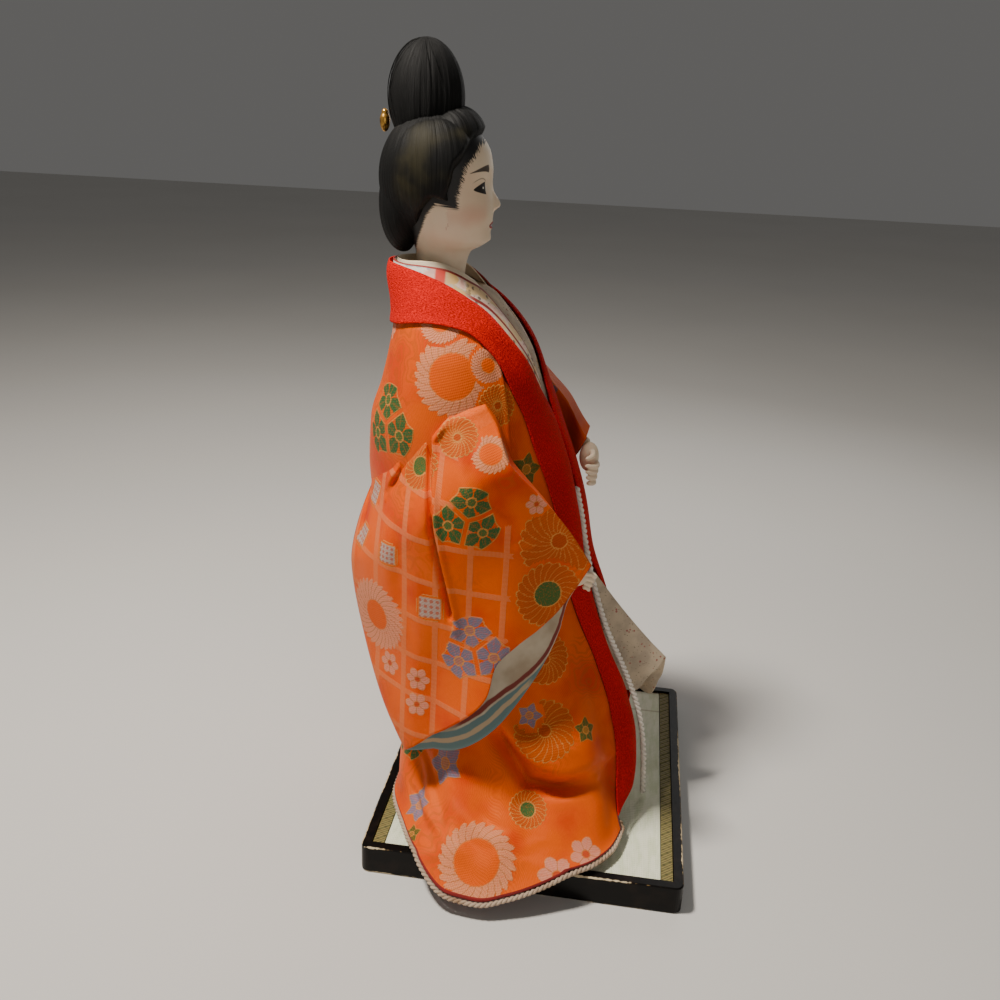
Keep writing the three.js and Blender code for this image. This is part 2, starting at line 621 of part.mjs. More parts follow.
// Puts a place of a sleeve's side view at its distance from the doll's middle plane
function sleevePoint(sleeve, { point, down, across }, near, inset) {
  const plane = sleeve.plane.map(([y, x]) => ({ at: y, x }));
  const swing = SLEEVE_SWING * smooth(95 - point.z, 0, 55);
  const reach = figureReach(point.y, point.z);
  const hang = Math.max(along(plane, 'x', point.y), reach + SLEEVE_CLEARANCE) + swing;
  const attach = smooth(down, 0, 0.35);
  const open = Math.sin(Math.PI * mix(0.28, 1, across)) ** 0.7;
  const puff = near ? sleeve.openWidth * mix(0.2, 1, attach) * open + SLEEVE_WALL + FIT_GAP : 0;
  return point.clone().setX(sleeve.side * (mix(reach - 0.6, hang, attach) + puff + inset));
}

// Moves the places near a loop's two folded ends a wall's thickness towards the loop's middle
function shrinkFolds(loop) {
  const middle = loop.reduce((sum, { point }) => sum.add(point), new THREE.Vector3());
  middle.divideScalar(loop.length);
  return loop.map((place) => {
    const fold = smooth(Math.abs(place.across - 0.5), 0.4, 0.5);
    const inward = middle.clone().sub(place.point).setLength(1.5 * SLEEVE_WALL * fold);
    return { ...place, point: place.point.clone().add(inward) };
  });
}

// Hollow sleeve: a flat bag that is open along its mouth and closed at the shoulder
function buildSleeve(name, sleeve, envelope) {
  const far = sleevePlaces(sleeve, sleeve.farMouth);
  const loops = sleevePlaces(sleeve, sleeve.nearMouth).map((row, i) => [...row, ...far[i].reverse()]);
  const isNear = (j) => j <= SLEEVE_COLUMNS;
  const outside = loops.map((loop) => loop.map((place, j) => (
    sleevePoint(sleeve, place, isNear(j), isNear(j) ? SLEEVE_WALL : 0))));
  const inside = loops.map((loop) => shrinkFolds(loop).map((place, j) => (
    sleevePoint(sleeve, place, isNear(j), isNear(j) ? 0 : SLEEVE_WALL))));
  addPiece(name, cut(cupSolid(outside, inside.slice(1)), envelope), 'brocade');
}

// Closed cup: an outer wall with a closed first ring, and an inner wall with a closed first ring
function cupSolid(outerRings, innerRings) {
  const size = outerRings[0].length;
  const points = [...outerRings.flat(), ...innerRings.flat()];
  const start = outerRings.length * size;
  const faces = [];
  const wall = (base, count, flip) => {
    for (let i = 0; i < count - 1; i += 1) {
      for (let j = 0; j < size; j += 1) {
        const k = (j + 1) % size;
        const corners = quad(base + i * size + j, base + i * size + k, base + (i + 1) * size + k,
          base + (i + 1) * size + j);
        faces.push(...(flip ? corners.map(([a, b, c]) => [a, c, b]) : corners));
      }
    }
  };
  wall(0, outerRings.length, false);
  wall(start, innerRings.length, true);
  const lip = (outerRings.length - 1) * size;
  const innerLip = start + (innerRings.length - 1) * size;
  for (let j = 0; j < size; j += 1) {
    const k = (j + 1) % size;
    faces.push(...quad(lip + j, lip + k, innerLip + k, innerLip + j));
  }
  const half = size / 2;
  for (let j = 0; j < half - 1; j += 1) {
    const m = size - 1 - j;
    faces.push(...quad(j, m, m - 1, j + 1));
    faces.push(...quad(start + j, start + j + 1, start + m - 1, start + m));
  }
  return closedGeometry(points, faces);
}

// Solid that fills the robe out to just above its lapels, used to trim the sleeves
function robeEnvelope() {
  const rows = [218, ...ROBE_ROWS.slice(0, -2)];
  return ringSolid(rows.map((height) => Array.from({ length: ROBE_COLUMNS }, (_, j) => (
    onRobe((360 * j) / ROBE_COLUMNS, height, LAPEL_OUTSIDE + FIT_GAP)))));
}

function ellipsoid({ centre, radii }, grow = 0, around = 12, up = 9) {
  const geometry = new THREE.SphereGeometry(1, around, up).rotateX(Math.PI / 2);
  geometry.scale(radii[0] + grow, radii[1] + grow, radii[2] + grow);
  return geometry.translate(...centre);
}

// Height of a soft bump of the face at a distance across and a height
function bump(shape, across, height) {
  const reachUp = height > shape.height ? shape.rise : shape.drop;
  const vertical = ((height - shape.height) / reachUp) ** 2;
  return shape.reach * Math.exp(-vertical - (across / shape.half) ** 2);
}

function headRing(height, grow) {
  const front = along(HEAD_SECTIONS, 'front', height) - grow;
  const back = along(HEAD_SECTIONS, 'back', height) + grow;
  const half = along(HEAD_SECTIONS, 'half', height) + grow;
  return Array.from({ length: HEAD_COLUMNS }, (_, j) => {
    const even = (2 * Math.PI * j) / HEAD_COLUMNS;
    const angle = even - 0.55 * Math.sin(even);
    const x = -half * Math.sign(Math.sin(angle)) * Math.abs(Math.sin(angle)) ** 0.9;
    let y = (front + back) / 2 - ((back - front) / 2) * Math.cos(angle);
    if (Math.cos(angle) > 0) {
      y -= bump(NOSE, x, height) + bump(CHIN, x, height) + bump(LIPS, x, height);
    }
    const turned = new THREE.Vector3(x, y - HEAD_CENTRE_Y, height);
    turned.applyAxisAngle(new THREE.Vector3(0, 0, 1), HEAD_TURN);
    turned.y += HEAD_CENTRE_Y;
    return turned;
  });
}

function headSolid(heights, grow) {
  return ringSolid(heights.map((height) => headRing(height, grow)));
}

// Head with its neck, the hair with room cut out for face and neck, the topknot and its bead
function buildHead() {
  const face = [288.2, 286, 281.5, 275, 268, 262.5, 259.8, 258, 256.4, 254.5, 252.2, 250.4, 248.2,
    245.6, 243.4, 240, 234, NECK_BASE + FIT_GAP];
  addPiece('head', headSolid(face, 0), 'skin');
  const skull = [288.2, 286, 281.5, 275, 268, 262.5, 254.5, 248.2, 243.4, 240, 234];
  const masses = HAIR_MASSES.map((mass) => ellipsoid(mass));
  const side = new THREE.Shape(HAIRLINE.map(([y, z]) => new THREE.Vector2(y, z)));
  const room = new THREE.ExtrudeGeometry(side, { depth: 60, bevelEnabled: false });
  room.applyMatrix4(new THREE.Matrix4().makeBasis(
    new THREE.Vector3(0, 1, 0), new THREE.Vector3(0, 0, 1), new THREE.Vector3(1, 0, 0)));
  room.translate(-30, 0, 0);
  addPiece('hair', cut(join(...masses), headSolid(skull, 3 * FIT_GAP), room), 'hair');
  const seat = HAIR_MASSES.map((mass) => ellipsoid(mass, FIT_GAP));
  addPiece('topknot', cut(ellipsoid(TOPKNOT), ...seat), 'hair');
  addPiece('hairpin_bead', ellipsoid(BEAD, 0, 8, 6), 'gilt');
}

// Finger as a bent rod with round ends through three joints
function finger(joints, radius) {
  const [root, middle, tip] = joints.map((p) => new THREE.Vector3(...p));
  const bone = (from, to) => {
    const direction = to.clone().sub(from);
    const rod = new THREE.CapsuleGeometry(radius, direction.length(), 1, 5);
    const turn = new THREE.Quaternion().setFromUnitVectors(
      new THREE.Vector3(0, 1, 0), direction.clone().normalize());
    return rod.applyQuaternion(turn).translate(...from.clone().lerp(to, 0.5));
  };
  return [bone(root, middle), bone(middle, tip)];
}

// Left hand: a wrist, a palm, four fingers curled round the lapel's edge, and a thumb
function buildLeftHand() {
  const parts = [ellipsoid({ centre: [14.8, -11.8, 156.5], radii: [3.4, 4.2, 6.6] }, 0, 8, 6)];
  parts.push(...finger([[20.6, -9, 162.4], [18.2, -10, 161], [15.8, -10.8, 158.5]], 2.2));
  for (let i = 0; i < 4; i += 1) {
    const z = 153.2 - 2.7 * i;
    const reach = 0.3 * (1 - i);
    const tip = [9.8, -11.9 + reach, z + 0.4];
    parts.push(...finger([[14.6, -15.4 + 0.4 * i, z], [11.2, -14, z - 0.3], tip], 1.5));
  }
  parts.push(...finger([[13, -12, 158], [10.6, -12.6, 157], [9.4, -11, 155.2]], 1.4));
  addPiece('left_hand', join(...parts), 'skin');
}

// Right hand inside the tip of the sleeve, with the fingertips reaching out
function buildRightHand() {
  const parts = [ellipsoid({ centre: [-38, -11.4, 124.9], radii: [1.7, 5.2, 3.8] }, 0, 8, 6)];
  for (let i = 0; i < 4; i += 1) {
    const z = 127.2 - 2 * i;
    const tip = [-37.2, -20.4 + 0.9 * i, z - 2];
    parts.push(...finger([[-38, -15, z], [-37.6, -18.6 + 0.5 * i, z - 0.5], tip], 1));
  }
  addPiece('right_hand', join(...parts), 'skin');
}

buildStand();
buildKimonoBody();
buildFrontPanel();
buildCollars();
buildRobe();
buildCords();
const robeFilled = robeEnvelope();
buildSleeve('robe_right_sleeve', RIGHT_SLEEVE, robeFilled);
buildSleeve('robe_left_sleeve', LEFT_SLEEVE, robeFilled);
buildHead();
buildLeftHand();
buildRightHand();

export default doll;
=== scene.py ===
"""Finished look of a standing kimono doll on its black lacquered stand.

Shapes are worked out in millimetres and put into the meshes in metres. The doll
faces -Y, its right side is towards -X, and the origin is at the middle of the
stand's underside. A heading is 0 at the doll's front and 90 at its right side.
"""

import json
import logging
import math
from dataclasses import dataclass
from enum import Enum
from typing import Callable

import bmesh
import bpy
import numpy as np
from mathutils import Matrix, Vector

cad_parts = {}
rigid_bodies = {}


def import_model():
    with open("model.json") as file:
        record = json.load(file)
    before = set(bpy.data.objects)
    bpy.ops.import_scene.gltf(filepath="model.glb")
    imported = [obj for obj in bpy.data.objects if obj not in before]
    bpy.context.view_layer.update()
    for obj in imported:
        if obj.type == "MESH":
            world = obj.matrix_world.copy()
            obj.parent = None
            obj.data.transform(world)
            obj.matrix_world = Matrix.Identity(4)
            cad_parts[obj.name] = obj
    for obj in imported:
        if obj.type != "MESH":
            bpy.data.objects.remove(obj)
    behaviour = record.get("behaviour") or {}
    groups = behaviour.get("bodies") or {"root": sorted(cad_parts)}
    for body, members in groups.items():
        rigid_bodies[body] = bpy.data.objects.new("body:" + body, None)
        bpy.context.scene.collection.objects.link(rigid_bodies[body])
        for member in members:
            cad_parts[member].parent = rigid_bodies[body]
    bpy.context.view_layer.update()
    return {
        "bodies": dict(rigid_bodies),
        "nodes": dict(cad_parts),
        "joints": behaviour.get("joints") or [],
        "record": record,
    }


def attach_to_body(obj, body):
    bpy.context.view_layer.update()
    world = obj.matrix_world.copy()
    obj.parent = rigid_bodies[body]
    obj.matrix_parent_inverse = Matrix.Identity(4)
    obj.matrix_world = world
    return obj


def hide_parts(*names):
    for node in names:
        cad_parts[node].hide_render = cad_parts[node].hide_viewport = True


MM = 0.001
BODY = "root"

Array = np.ndarray
Colour = tuple[float, float, float, float]
Place = Callable[[Array, Array], Array]
Pairs = tuple[tuple[float, float], ...]
Triple = tuple[float, float, float]
Piece = bpy.types.Object
Mesh = bpy.types.Mesh
Material = bpy.types.Material

log = logging.getLogger("kimono_doll")


def smooth(value: Array, low: float, high: float) -> Array:
    """Rises from 0 at low to 1 at high with soft ends.

    Args:
        value: numbers to rate.
        low: value that gives 0.
        high: value that gives 1.

    Returns:
        Numbers from 0 to 1.
    """
    t = np.clip((np.asarray(value, float) - low) / (high - low), 0.0, 1.0)
    return t * t * (3.0 - 2.0 * t)


def mix(first: Array, second: Array, share: Array) -> Array:
    """Straight blend from first, at share 0, to second, at share 1."""
    return first + (second - first) * share


def bell(value: Array, middle: float, width: float) -> Array:
    """Bell curve of height 1 at the middle."""
    return np.exp(-(((np.asarray(value, float) - middle) / width) ** 2))


def paint(red: int, green: int, blue: int) -> Colour:
    """Linear colour of a paint whose parts are given from 0 to 255, as seen."""
    parts = (part / 255.0 for part in (red, green, blue))
    return (*(p / 12.92 if p <= 0.04045 else ((p + 0.055) / 1.055) ** 2.4 for p in parts), 1.0)


def directions(heading: Array, lean: Array) -> Array:
    """Directions at a heading and at a lean from straight up, both in radians."""
    flat = -np.sin(lean)
    return np.stack([flat * np.sin(heading), flat * np.cos(heading), np.cos(lean)], axis=-1)


def spun(first: Array, second: Array, degrees: float) -> tuple[Array, Array]:
    """Two coordinates turned in their plane."""
    cos, sin = math.cos(math.radians(degrees)), math.sin(math.radians(degrees))
    return first * cos - second * sin, first * sin + second * cos


@dataclass(frozen=True)
class Stations:
    """Smooth value through stations that never overshoots them.

    Attributes:
        at: places of the stations, rising.
        value: value at each station.
    """

    at: tuple[float, ...]
    value: tuple[float, ...]

    def __call__(self, where: Array) -> Array:
        """Values at the places asked for.

        Args:
            where: places between the stations.

        Returns:
            One value a place.
        """
        at = np.array(self.at, float)
        value = np.array(self.value, float)
        step = np.diff(at)
        slope = np.diff(value) / step
        product = slope[:-1] * slope[1:]
        total = np.where(product > 0, slope[:-1] + slope[1:], 1.0)
        inner = np.where(product > 0, 2 * product / total, 0.0)
        tangent = np.concatenate([slope[:1], inner, slope[-1:]])
        x = np.clip(np.asarray(where, float), at[0], at[-1])
        i = np.clip(np.searchsorted(at, x, side="left") - 1, 0, len(at) - 2)
        t = (x - at[i]) / step[i]
        t2, t3 = t * t, t * t * t
        return (
            (2 * t3 - 3 * t2 + 1) * value[i]
            + (t3 - 2 * t2 + t) * step[i] * tangent[i]
            + (3 * t2 - 2 * t3) * value[i + 1]
            + (t3 - t2) * step[i] * tangent[i + 1]
        )


class SmoothLine:
    """Smooth line through points, read by the share of its length."""

    SAMPLES = 40

    def __init__(self, points: Array) -> None:
        """Samples the line finely.

        Args:
            points: the points it passes through, one a row.
        """
        p = np.array(points, float)
        p = np.vstack([2 * p[0] - p[1], p, 2 * p[-1] - p[-2]])
        knots = np.sqrt(np.linalg.norm(np.diff(p, axis=0), axis=1))
        pieces = []
        for k in range(len(p) - 3):
            a, b, c, d = p[k:k + 4]
            ta, tb, tc = knots[k:k + 3]
            start = ((b - a) / ta - (c - a) / (ta + tb) + (c - b) / tb) * tb
            end = ((c - b) / tb - (d - b) / (tb + tc) + (d - c) / tc) * tb
            t = (np.arange(self.SAMPLES) / self.SAMPLES)[:, None]
            pieces.append(
                b + start * t + (3 * (c - b) - 2 * start - end) * t**2
                + (2 * (b - c) + start + end) * t**3
            )
        self.points = np.vstack(pieces + [p[-2:-1]])
        lengths = np.linalg.norm(np.diff(self.points, axis=0), axis=1)
        self.run = np.concatenate([[0.0], np.cumsum(lengths)])

    @property
    def length(self) -> float:
        """Length of the line."""
        return float(self.run[-1])

    def __call__(self, share: Array) -> Array:
        """Points at shares of the length from 0 to 1.

        Args:
            share: shares of the length from 0 to 1.

        Returns:
            One point a row.
        """
        where = np.asarray(share, float) * self.length
        columns = [np.interp(where, self.run, column) for column in self.points.T]
        return np.stack(columns, axis=-1)


def near_line(points: Pairs, first: Array, second: Array) -> tuple[Array, Array]:
    """Distance of places from a line through points of a plane.

    Args:
        points: the line's corners.
        first: first coordinate of the places.
        second: second coordinate of the places.

    Returns:
        The distance, and the side that each place is on as -1 or 1.
    """
    best = np.full(np.shape(first), np.inf)
    side = np.ones(np.shape(first))
    for (ax, ay), (bx, by) in zip(points[:-1], points[1:]):
        dx, dy = bx - ax, by - ay
        t = np.clip(((first - ax) * dx + (second - ay) * dy) / (dx * dx + dy * dy), 0, 1)
        ox, oy = first - ax - t * dx, second - ay - t * dy
        distance = np.hypot(ox, oy)
        closer = distance < best
        side = np.where(closer, np.sign(dx * oy - dy * ox + 1e-12), side)
        best = np.where(closer, distance, best)
    return best, side


@dataclass(frozen=True)
class Crease:
    """Pressed fold of a cloth along a line.

    Attributes:
        line: corners of the line in the cloth's own plane, in millimetres.
        depth: depth of the valley.
        width: half width of the valley.
        ridge: height of the ridge beside it.
        side: side of the line that the ridge is on, -1 or 1.
    """

    line: Pairs
    depth: float
    width: float
    ridge: float = 0.0
    side: int = 1

    def relief(self, first: Array, second: Array) -> Array:
        """Height that the fold adds at places of the cloth's plane.

        Args:
            first: first coordinate of the places.
            second: second coordinate of the places.

        Returns:
            One height a place.
        """
        distance, side = near_line(self.line, first, second)
        valley = -self.depth * np.exp(-((distance / self.width) ** 2))
        bulge = np.exp(-(((distance - 2 * self.width) / (1.3 * self.width)) ** 2))
        ends = [np.hypot(first - a, second - b) for a, b in (self.line[0], self.line[-1])]
        fade = smooth(np.minimum(ends[0], ends[1]), 0, 4.5 * self.width)
        return (valley + self.ridge * bulge * (side == self.side)) * fade


class Figure:
    """Dressed figure's surface, which every cloth layer lies at a distance from."""

    SKIRT_BREAK = 60.0
    HEM_REST = 14.5
    OVERHANG_START = 75.5
    OVERHANG_SLOPE = 0.6
    TOP = 239.5
    HEIGHTS = (12, 40, 60, 80, 100, 120, 140, 158, 175, 190, 203, 213, 222, 231, 240)
    FRONT = Stations(
        HEIGHTS, (-43, -41.5, -37, -29, -21, -14, -10, -5, 2, 8, 13, 19, 26, 33, 38.5)
    )
    BACK = Stations(
        HEIGHTS, (57, 60, 63, 67, 70, 73, 75, 76.5, 75.5, 71, 68, 66.5, 67, 69, 70)
    )
    HALF = Stations(
        HEIGHTS, (50, 49, 47, 44, 42, 40.5, 40, 40, 40.5, 40, 37.5, 33, 26, 18, 13.5)
    )
    HEM_AT = (
        0, 18, 35, 50, 62, 75, 88, 98, 109, 121, 138, 158, 180, 205, 230, 255, 280, 305,
        330, 345, 360,
    )
    HEM_X = Stations(
        HEM_AT,
        (-2, -24, -41, -57, -69, -81, -88, -91, -90, -82, -63, -38, -5, 24, 46, 58, 60,
         52, 34, 16, -2),
    )
    HEM_Y = Stations(
        HEM_AT,
        (-44, -41.5, -39.5, -37, -30, -12.5, 3, 14, 26, 37.5, 49, 58, 57, 54, 43, 24, 2,
         -19, -35, -42, -44),
    )

    def section(self, heading: Array, height: Array) -> Array:
        """Points of the figure's plain level sections.

        Args:
            heading: headings in degrees.
            height: heights.

        Returns:
            One point a row.
        """
        front, back = self.FRONT(height), self.BACK(height)
        angle = np.radians(heading)
        y = (front + back) / 2 - (back - front) / 2 * np.cos(angle)
        x = -self.HALF(height) * np.sin(angle)
        return np.stack([x, y, np.broadcast_to(height, x.shape)], axis=-1)

    def robe(self, heading: Array, height: Array) -> Array:
        """Points of the robe's resting surface, spread out towards the hem.

        Args:
            heading: headings in degrees.
            height: heights on the unspread figure.

        Returns:
            One point a row.
        """
        point = self.section(heading, height)
        turn = np.mod(heading, 360.0)
        hem_x, hem_y = self.HEM_X(turn), self.HEM_Y(turn)
        t = np.clip((self.SKIRT_BREAK - height) / self.SKIRT_BREAK, 0.0, 1.0)
        spread = t**1.7
        flare = smooth(np.hypot(hem_x - point[..., 0], hem_y - point[..., 1]), 4, 30)
        fall = 1 - (1 - t) ** (1 + 0.6 * flare)
        rest = self.HEM_REST + 2.2 * (1 - flare)
        x = mix(point[..., 0], hem_x, spread)
        y = mix(point[..., 1], hem_y, spread)
        low = mix(self.SKIRT_BREAK, rest, fall)
        low = low - self.OVERHANG_SLOPE * np.maximum(0, -x - self.OVERHANG_START)
        z = np.where(t > 0, low, point[..., 2])
        return np.stack([x, y, z], axis=-1)

    def offset(self, surface: Place, heading: Array, height: Array, distance: Array) -> Array:
        """Points at a distance outwards from a surface.

        Args:
            surface: the surface, as a method of this class.
            heading: headings in degrees.
            height: heights.
            distance: distance outwards.

        Returns:
            One point a row.
        """
        point = surface(heading, height)
        across = surface(heading + 0.5, height) - surface(heading - 0.5, height)
        up = surface(heading, np.minimum(height + 0.5, self.TOP))
        up = up - surface(heading, np.maximum(height - 0.5, 0.0))
        outward = np.cross(up, across)
        outward /= np.linalg.norm(outward, axis=-1, keepdims=True)
        middle = (self.FRONT(height) + self.BACK(height)) / 2
        away = outward[..., 0] * point[..., 0] + outward[..., 1] * (point[..., 1] - middle)
        outward = np.where((away < 0)[..., None], -outward, outward)
        return point + outward * np.asarray(distance)[..., None]

    @staticmethod
    def folds(heading: Array, height: Array) -> Array:
        """Height of the skirt's soft upright folds and of its pouch.

        Args:
            heading: headings in degrees.
            height: heights.

        Returns:
            One height a place.
        """
        gather = smooth(170 - height, 10, 130) * smooth(height, 4, 26)
        pleats = 1.3 + 0.9 * np.cos(heading * 0.21 + 0.6) + 0.8 * np.cos(heading * 0.13 - 1.1)
        pouch = 6 * bell(heading, 66, 17) * bell(height, 52, 9)
        hollow = 3.4 * bell(heading, 84, 12) * bell(height, 34, 9)
        return gather * (pleats - hollow) + pouch

    def on_robe(self, heading: Array, height: Array, distance: Array) -> Array:
        """Points at a distance from the robe's folded surface."""
        lift = self.folds(heading, height) + distance
        return self.offset(self.robe, heading, height, lift)

    def on_body(self, heading: Array, height: Array, distance: Array) -> Array:
        """Points at a distance from the plain figure."""
        gap = np.broadcast_to(np.asarray(distance, float), np.shape(heading))
        return self.offset(self.section, heading, height, gap)

    def reach(self, y: Array, height: Array) -> Array:
        """Half width of the figure at a depth and a height.

        Args:
            y: depths.
            height: heights.

        Returns:
            One distance a place.
        """
        front, back = self.FRONT(height), self.BACK(height)
        place = (2 * y - front - back) / (back - front)
        return self.HALF(height) * np.sqrt(np.maximum(0, 1 - place * place))


FIGURE = Figure()


def on_robe(heading: float, height: float, distance: float) -> Array:
    """One point at a distance from the robe's folded surface."""
    return FIGURE.on_robe(np.array([heading]), np.array([height]), distance)[0]


def link(name: str, data: bpy.types.ID) -> Piece:
    """Object of a mesh, light or camera, linked to the scene.

    Args:
        name: name of the object.
        data: the mesh, light or camera.

    Returns:
        The object.
    """
    thing = bpy.data.objects.new(name, data)
    bpy.context.scene.collection.objects.link(thing)
    return thing


def new_piece(name: str, shape: bmesh.types.BMesh) -> Piece:
    """Object of a finished mesh shape.

    Args:
        name: name of the piece.
        shape: its shape, which is freed.

    Returns:
        The object, linked to the scene.
    """
    mesh = bpy.data.meshes.new(name)
    shape.to_mesh(mesh)
    shape.free()
    return link(name, mesh)


def read(items: bpy.types.bpy_prop_collection, name: str, shape: tuple[int, ...] = (),
         kind: type = float) -> Array:
    """Reads one property of a mesh's vertices, faces or corners.

    Args:
        items: the vertices, faces or corners.
        name: the property.
        shape: shape of its value.
        kind: type of its numbers.

    Returns:
        One value or row for each item.
    """
    values = np.zeros(len(items) * math.prod(shape), kind)
    items.foreach_get(name, values)
    return values.reshape(-1, *shape)


def vertex_points(mesh: Mesh) -> Array:
    """Vertices of a mesh as they are stored, one a row."""
    return read(mesh.vertices, "co", (3,))


def place_vertices(mesh: Mesh, points: Array) -> None:
    """Puts the vertices at points given in millimetres."""
    mesh.vertices.foreach_set("co", (points * MM).ravel())
    mesh.update()


def corner_vertices(mesh: Mesh) -> Array:
    """Vertex number of every face corner."""
    return read(mesh.loops, "vertex_index", kind=np.int32)


def corner_faces(mesh: Mesh) -> Array:
    """Face number of every face corner."""
    totals = read(mesh.polygons, "loop_total", kind=np.int32)
    return np.repeat(np.arange(len(totals)), totals)


def face_frames(mesh: Mesh) -> tuple[Array, Array]:
    """Middles in millimetres and normals of a mesh's faces."""
    return read(mesh.polygons, "center", (3,)) / MM, read(mesh.polygons, "normal", (3,))


def shares(mesh: Mesh) -> Array:
    """Shares across and down a grid's sheet, one pair a face corner."""
    return read(mesh.uv_layers["share"].data, "uv", (2,), np.float32)


def set_uv(mesh: Mesh, name: str, corners: Array) -> None:
    """Writes a UV map, one pair a face corner."""
    layer = mesh.uv_layers.get(name) or mesh.uv_layers.new(name=name)
    layer.data.foreach_set("uv", np.asarray(corners, np.float32).ravel())


def set_tint(mesh: Mesh, name: str, corners: Array) -> None:
    """Writes a colour attribute, four numbers a face corner."""
    layer = mesh.attributes.new(name, "FLOAT_COLOR", "CORNER")
    layer.data.foreach_set("color", np.asarray(corners, np.float32).ravel())


def face_outwards(mesh: Mesh, middle: Array | None = None) -> None:
    """Turns a single-walled mesh's faces away from its middle.

    Args:
        mesh: the mesh.
        middle: a point inside it, in millimetres; its own middle if left out.
    """
    middles, normals = face_frames(mesh)
    inside = middles.mean(axis=0) if middle is None else middle
    if np.einsum("ij,ij->", normals, middles - inside) < 0:
        mesh.flip_normals()
        mesh.update()


def grid_piece(
    name: str, rows: int, columns: int, place: Place, middle: Array | None = None
) -> Piece:
    """Sheet on a grid, with its cloth measured in millimetres by the UV map "cloth".

    Args:
        name: name of the piece.
        rows: faces down the sheet.
        columns: faces across the sheet.
        place: gives points in millimetres from shares across and down.
        middle: a point that the sheet faces away from.

    Returns:
        The piece, a single wall.
    """
    shape = bmesh.new()
    bmesh.ops.create_grid(shape, x_segments=columns, y_segments=rows, size=0.5)
    piece = new_piece(name, shape)
    mesh = piece.data
    flat = vertex_points(mesh)
    across, down = flat[:, 0] + 0.5, 0.5 - flat[:, 1]
    points = place(across, down)
    place_vertices(mesh, points)
    face_outwards(mesh, middle)
    i, j = np.rint(down * rows).astype(int), np.rint(across * columns).astype(int)
    lattice = np.zeros((rows + 1, columns + 1, 3))
    lattice[i, j] = points
    width = np.zeros((rows + 1, columns + 1))
    width[:, 1:] = np.cumsum(np.linalg.norm(np.diff(lattice, axis=1), axis=2), axis=1)
    width -= width[:, -1:] / 2
    drop = np.zeros((rows + 1, columns + 1))
    drop[1:] = np.cumsum(np.linalg.norm(np.diff(lattice, axis=0), axis=2), axis=0)
    corners = corner_vertices(mesh)
    cloth = np.stack([width[i, j], drop[i, j]], axis=1)
    set_uv(mesh, "cloth", cloth[corners])
    set_uv(mesh, "share", np.stack([across, down], axis=1)[corners])
    mesh.shade_smooth()
    return piece


def loft_piece(name: str, sides: int, rings: int, place: Place) -> Piece:
    """Closed piece through level rings, with the UV map "wrap" round and along it.

    Args:
        name: name of the piece.
        sides: faces round it.
        rings: rings from its top to its bottom.
        place: gives points in millimetres from shares round and down.

    Returns:
        The piece.
    """
    shape = bmesh.new()
    bmesh.ops.create_uvsphere(shape, u_segments=sides, v_segments=rings + 1, radius=1.0)
    piece = new_piece(name, shape)
    mesh = piece.data
    ball = vertex_points(mesh)
    ring = np.rint(np.arccos(np.clip(ball[:, 2], -1, 1)) / np.pi * (rings + 1)).astype(int)
    column = np.rint(np.arctan2(ball[:, 1], ball[:, 0]) / (2 * np.pi) * sides).astype(int)
    turn = np.mod(column, sides) / sides
    down = np.clip((ring - 1) / (rings - 1), 0.0, 1.0)
    points = place(turn, down)
    for pole, beside in ((0, 1), (rings + 1, rings)):
        points[ring == pole] = points[ring == beside].mean(axis=0)
    place_vertices(mesh, points)
    shape = bmesh.new()
    shape.from_mesh(mesh)
    bmesh.ops.recalc_face_normals(shape, faces=shape.faces)
    shape.to_mesh(mesh)
    shape.free()
    corners, owners = corner_vertices(mesh), corner_faces(mesh)
    round_it = turn[corners]
    starts = np.flatnonzero(np.diff(owners, prepend=-1))
    widest = np.maximum.reduceat(round_it, starts) - np.minimum.reduceat(round_it, starts)
    split = (widest > 0.5)[owners] & (round_it < 0.5)
    set_uv(mesh, "wrap", np.stack([round_it + split, down[corners]], axis=1))
    mesh.shade_smooth()
    return piece


def join_pieces(name: str, pieces: list[Piece]) -> Piece:
    """One piece of several, which are removed.

    Args:
        name: name of the joined piece.
        pieces: the pieces, with the same finish.

    Returns:
        The joined piece.
    """
    shape = bmesh.new()
    for piece in pieces:
        shape.from_mesh(piece.data)
        bpy.data.objects.remove(piece)
    joined = new_piece(name, shape)
    joined.data.shade_smooth()
    return joined


def tube_place(path: Array, radius: Callable[[Array], Array]) -> Place:
    """Rings along a line of points.

    Args:
        path: the line's points in millimetres, evenly spaced.
        radius: gives the radius from the share along the line.

    Returns:
        The place function of a loft with one ring a point.
    """
    ahead = np.gradient(path, axis=0)
    ahead /= np.linalg.norm(ahead, axis=1, keepdims=True)
    side = np.cross(ahead, [0.0, 0.0, 1.0])
    short = np.linalg.norm(side, axis=1) < 1e-3
    side[short] = np.cross(ahead[short], [0.0, 1.0, 0.0])
    side /= np.linalg.norm(side, axis=1, keepdims=True)
    up = np.cross(side, ahead)

    def place(turn: Array, down: Array) -> Array:
        """Points of the rings.

        Args:
            turn: share of the way round.
            down: share of the way down.

        Returns:
            One point a row.
        """
        k = np.rint(down * (len(path) - 1)).astype(int)
        angle = 2 * np.pi * turn
        out = side[k] * np.cos(angle)[:, None] + up[k] * np.sin(angle)[:, None]
        return path[k] + out * radius(down)[:, None]

    return place


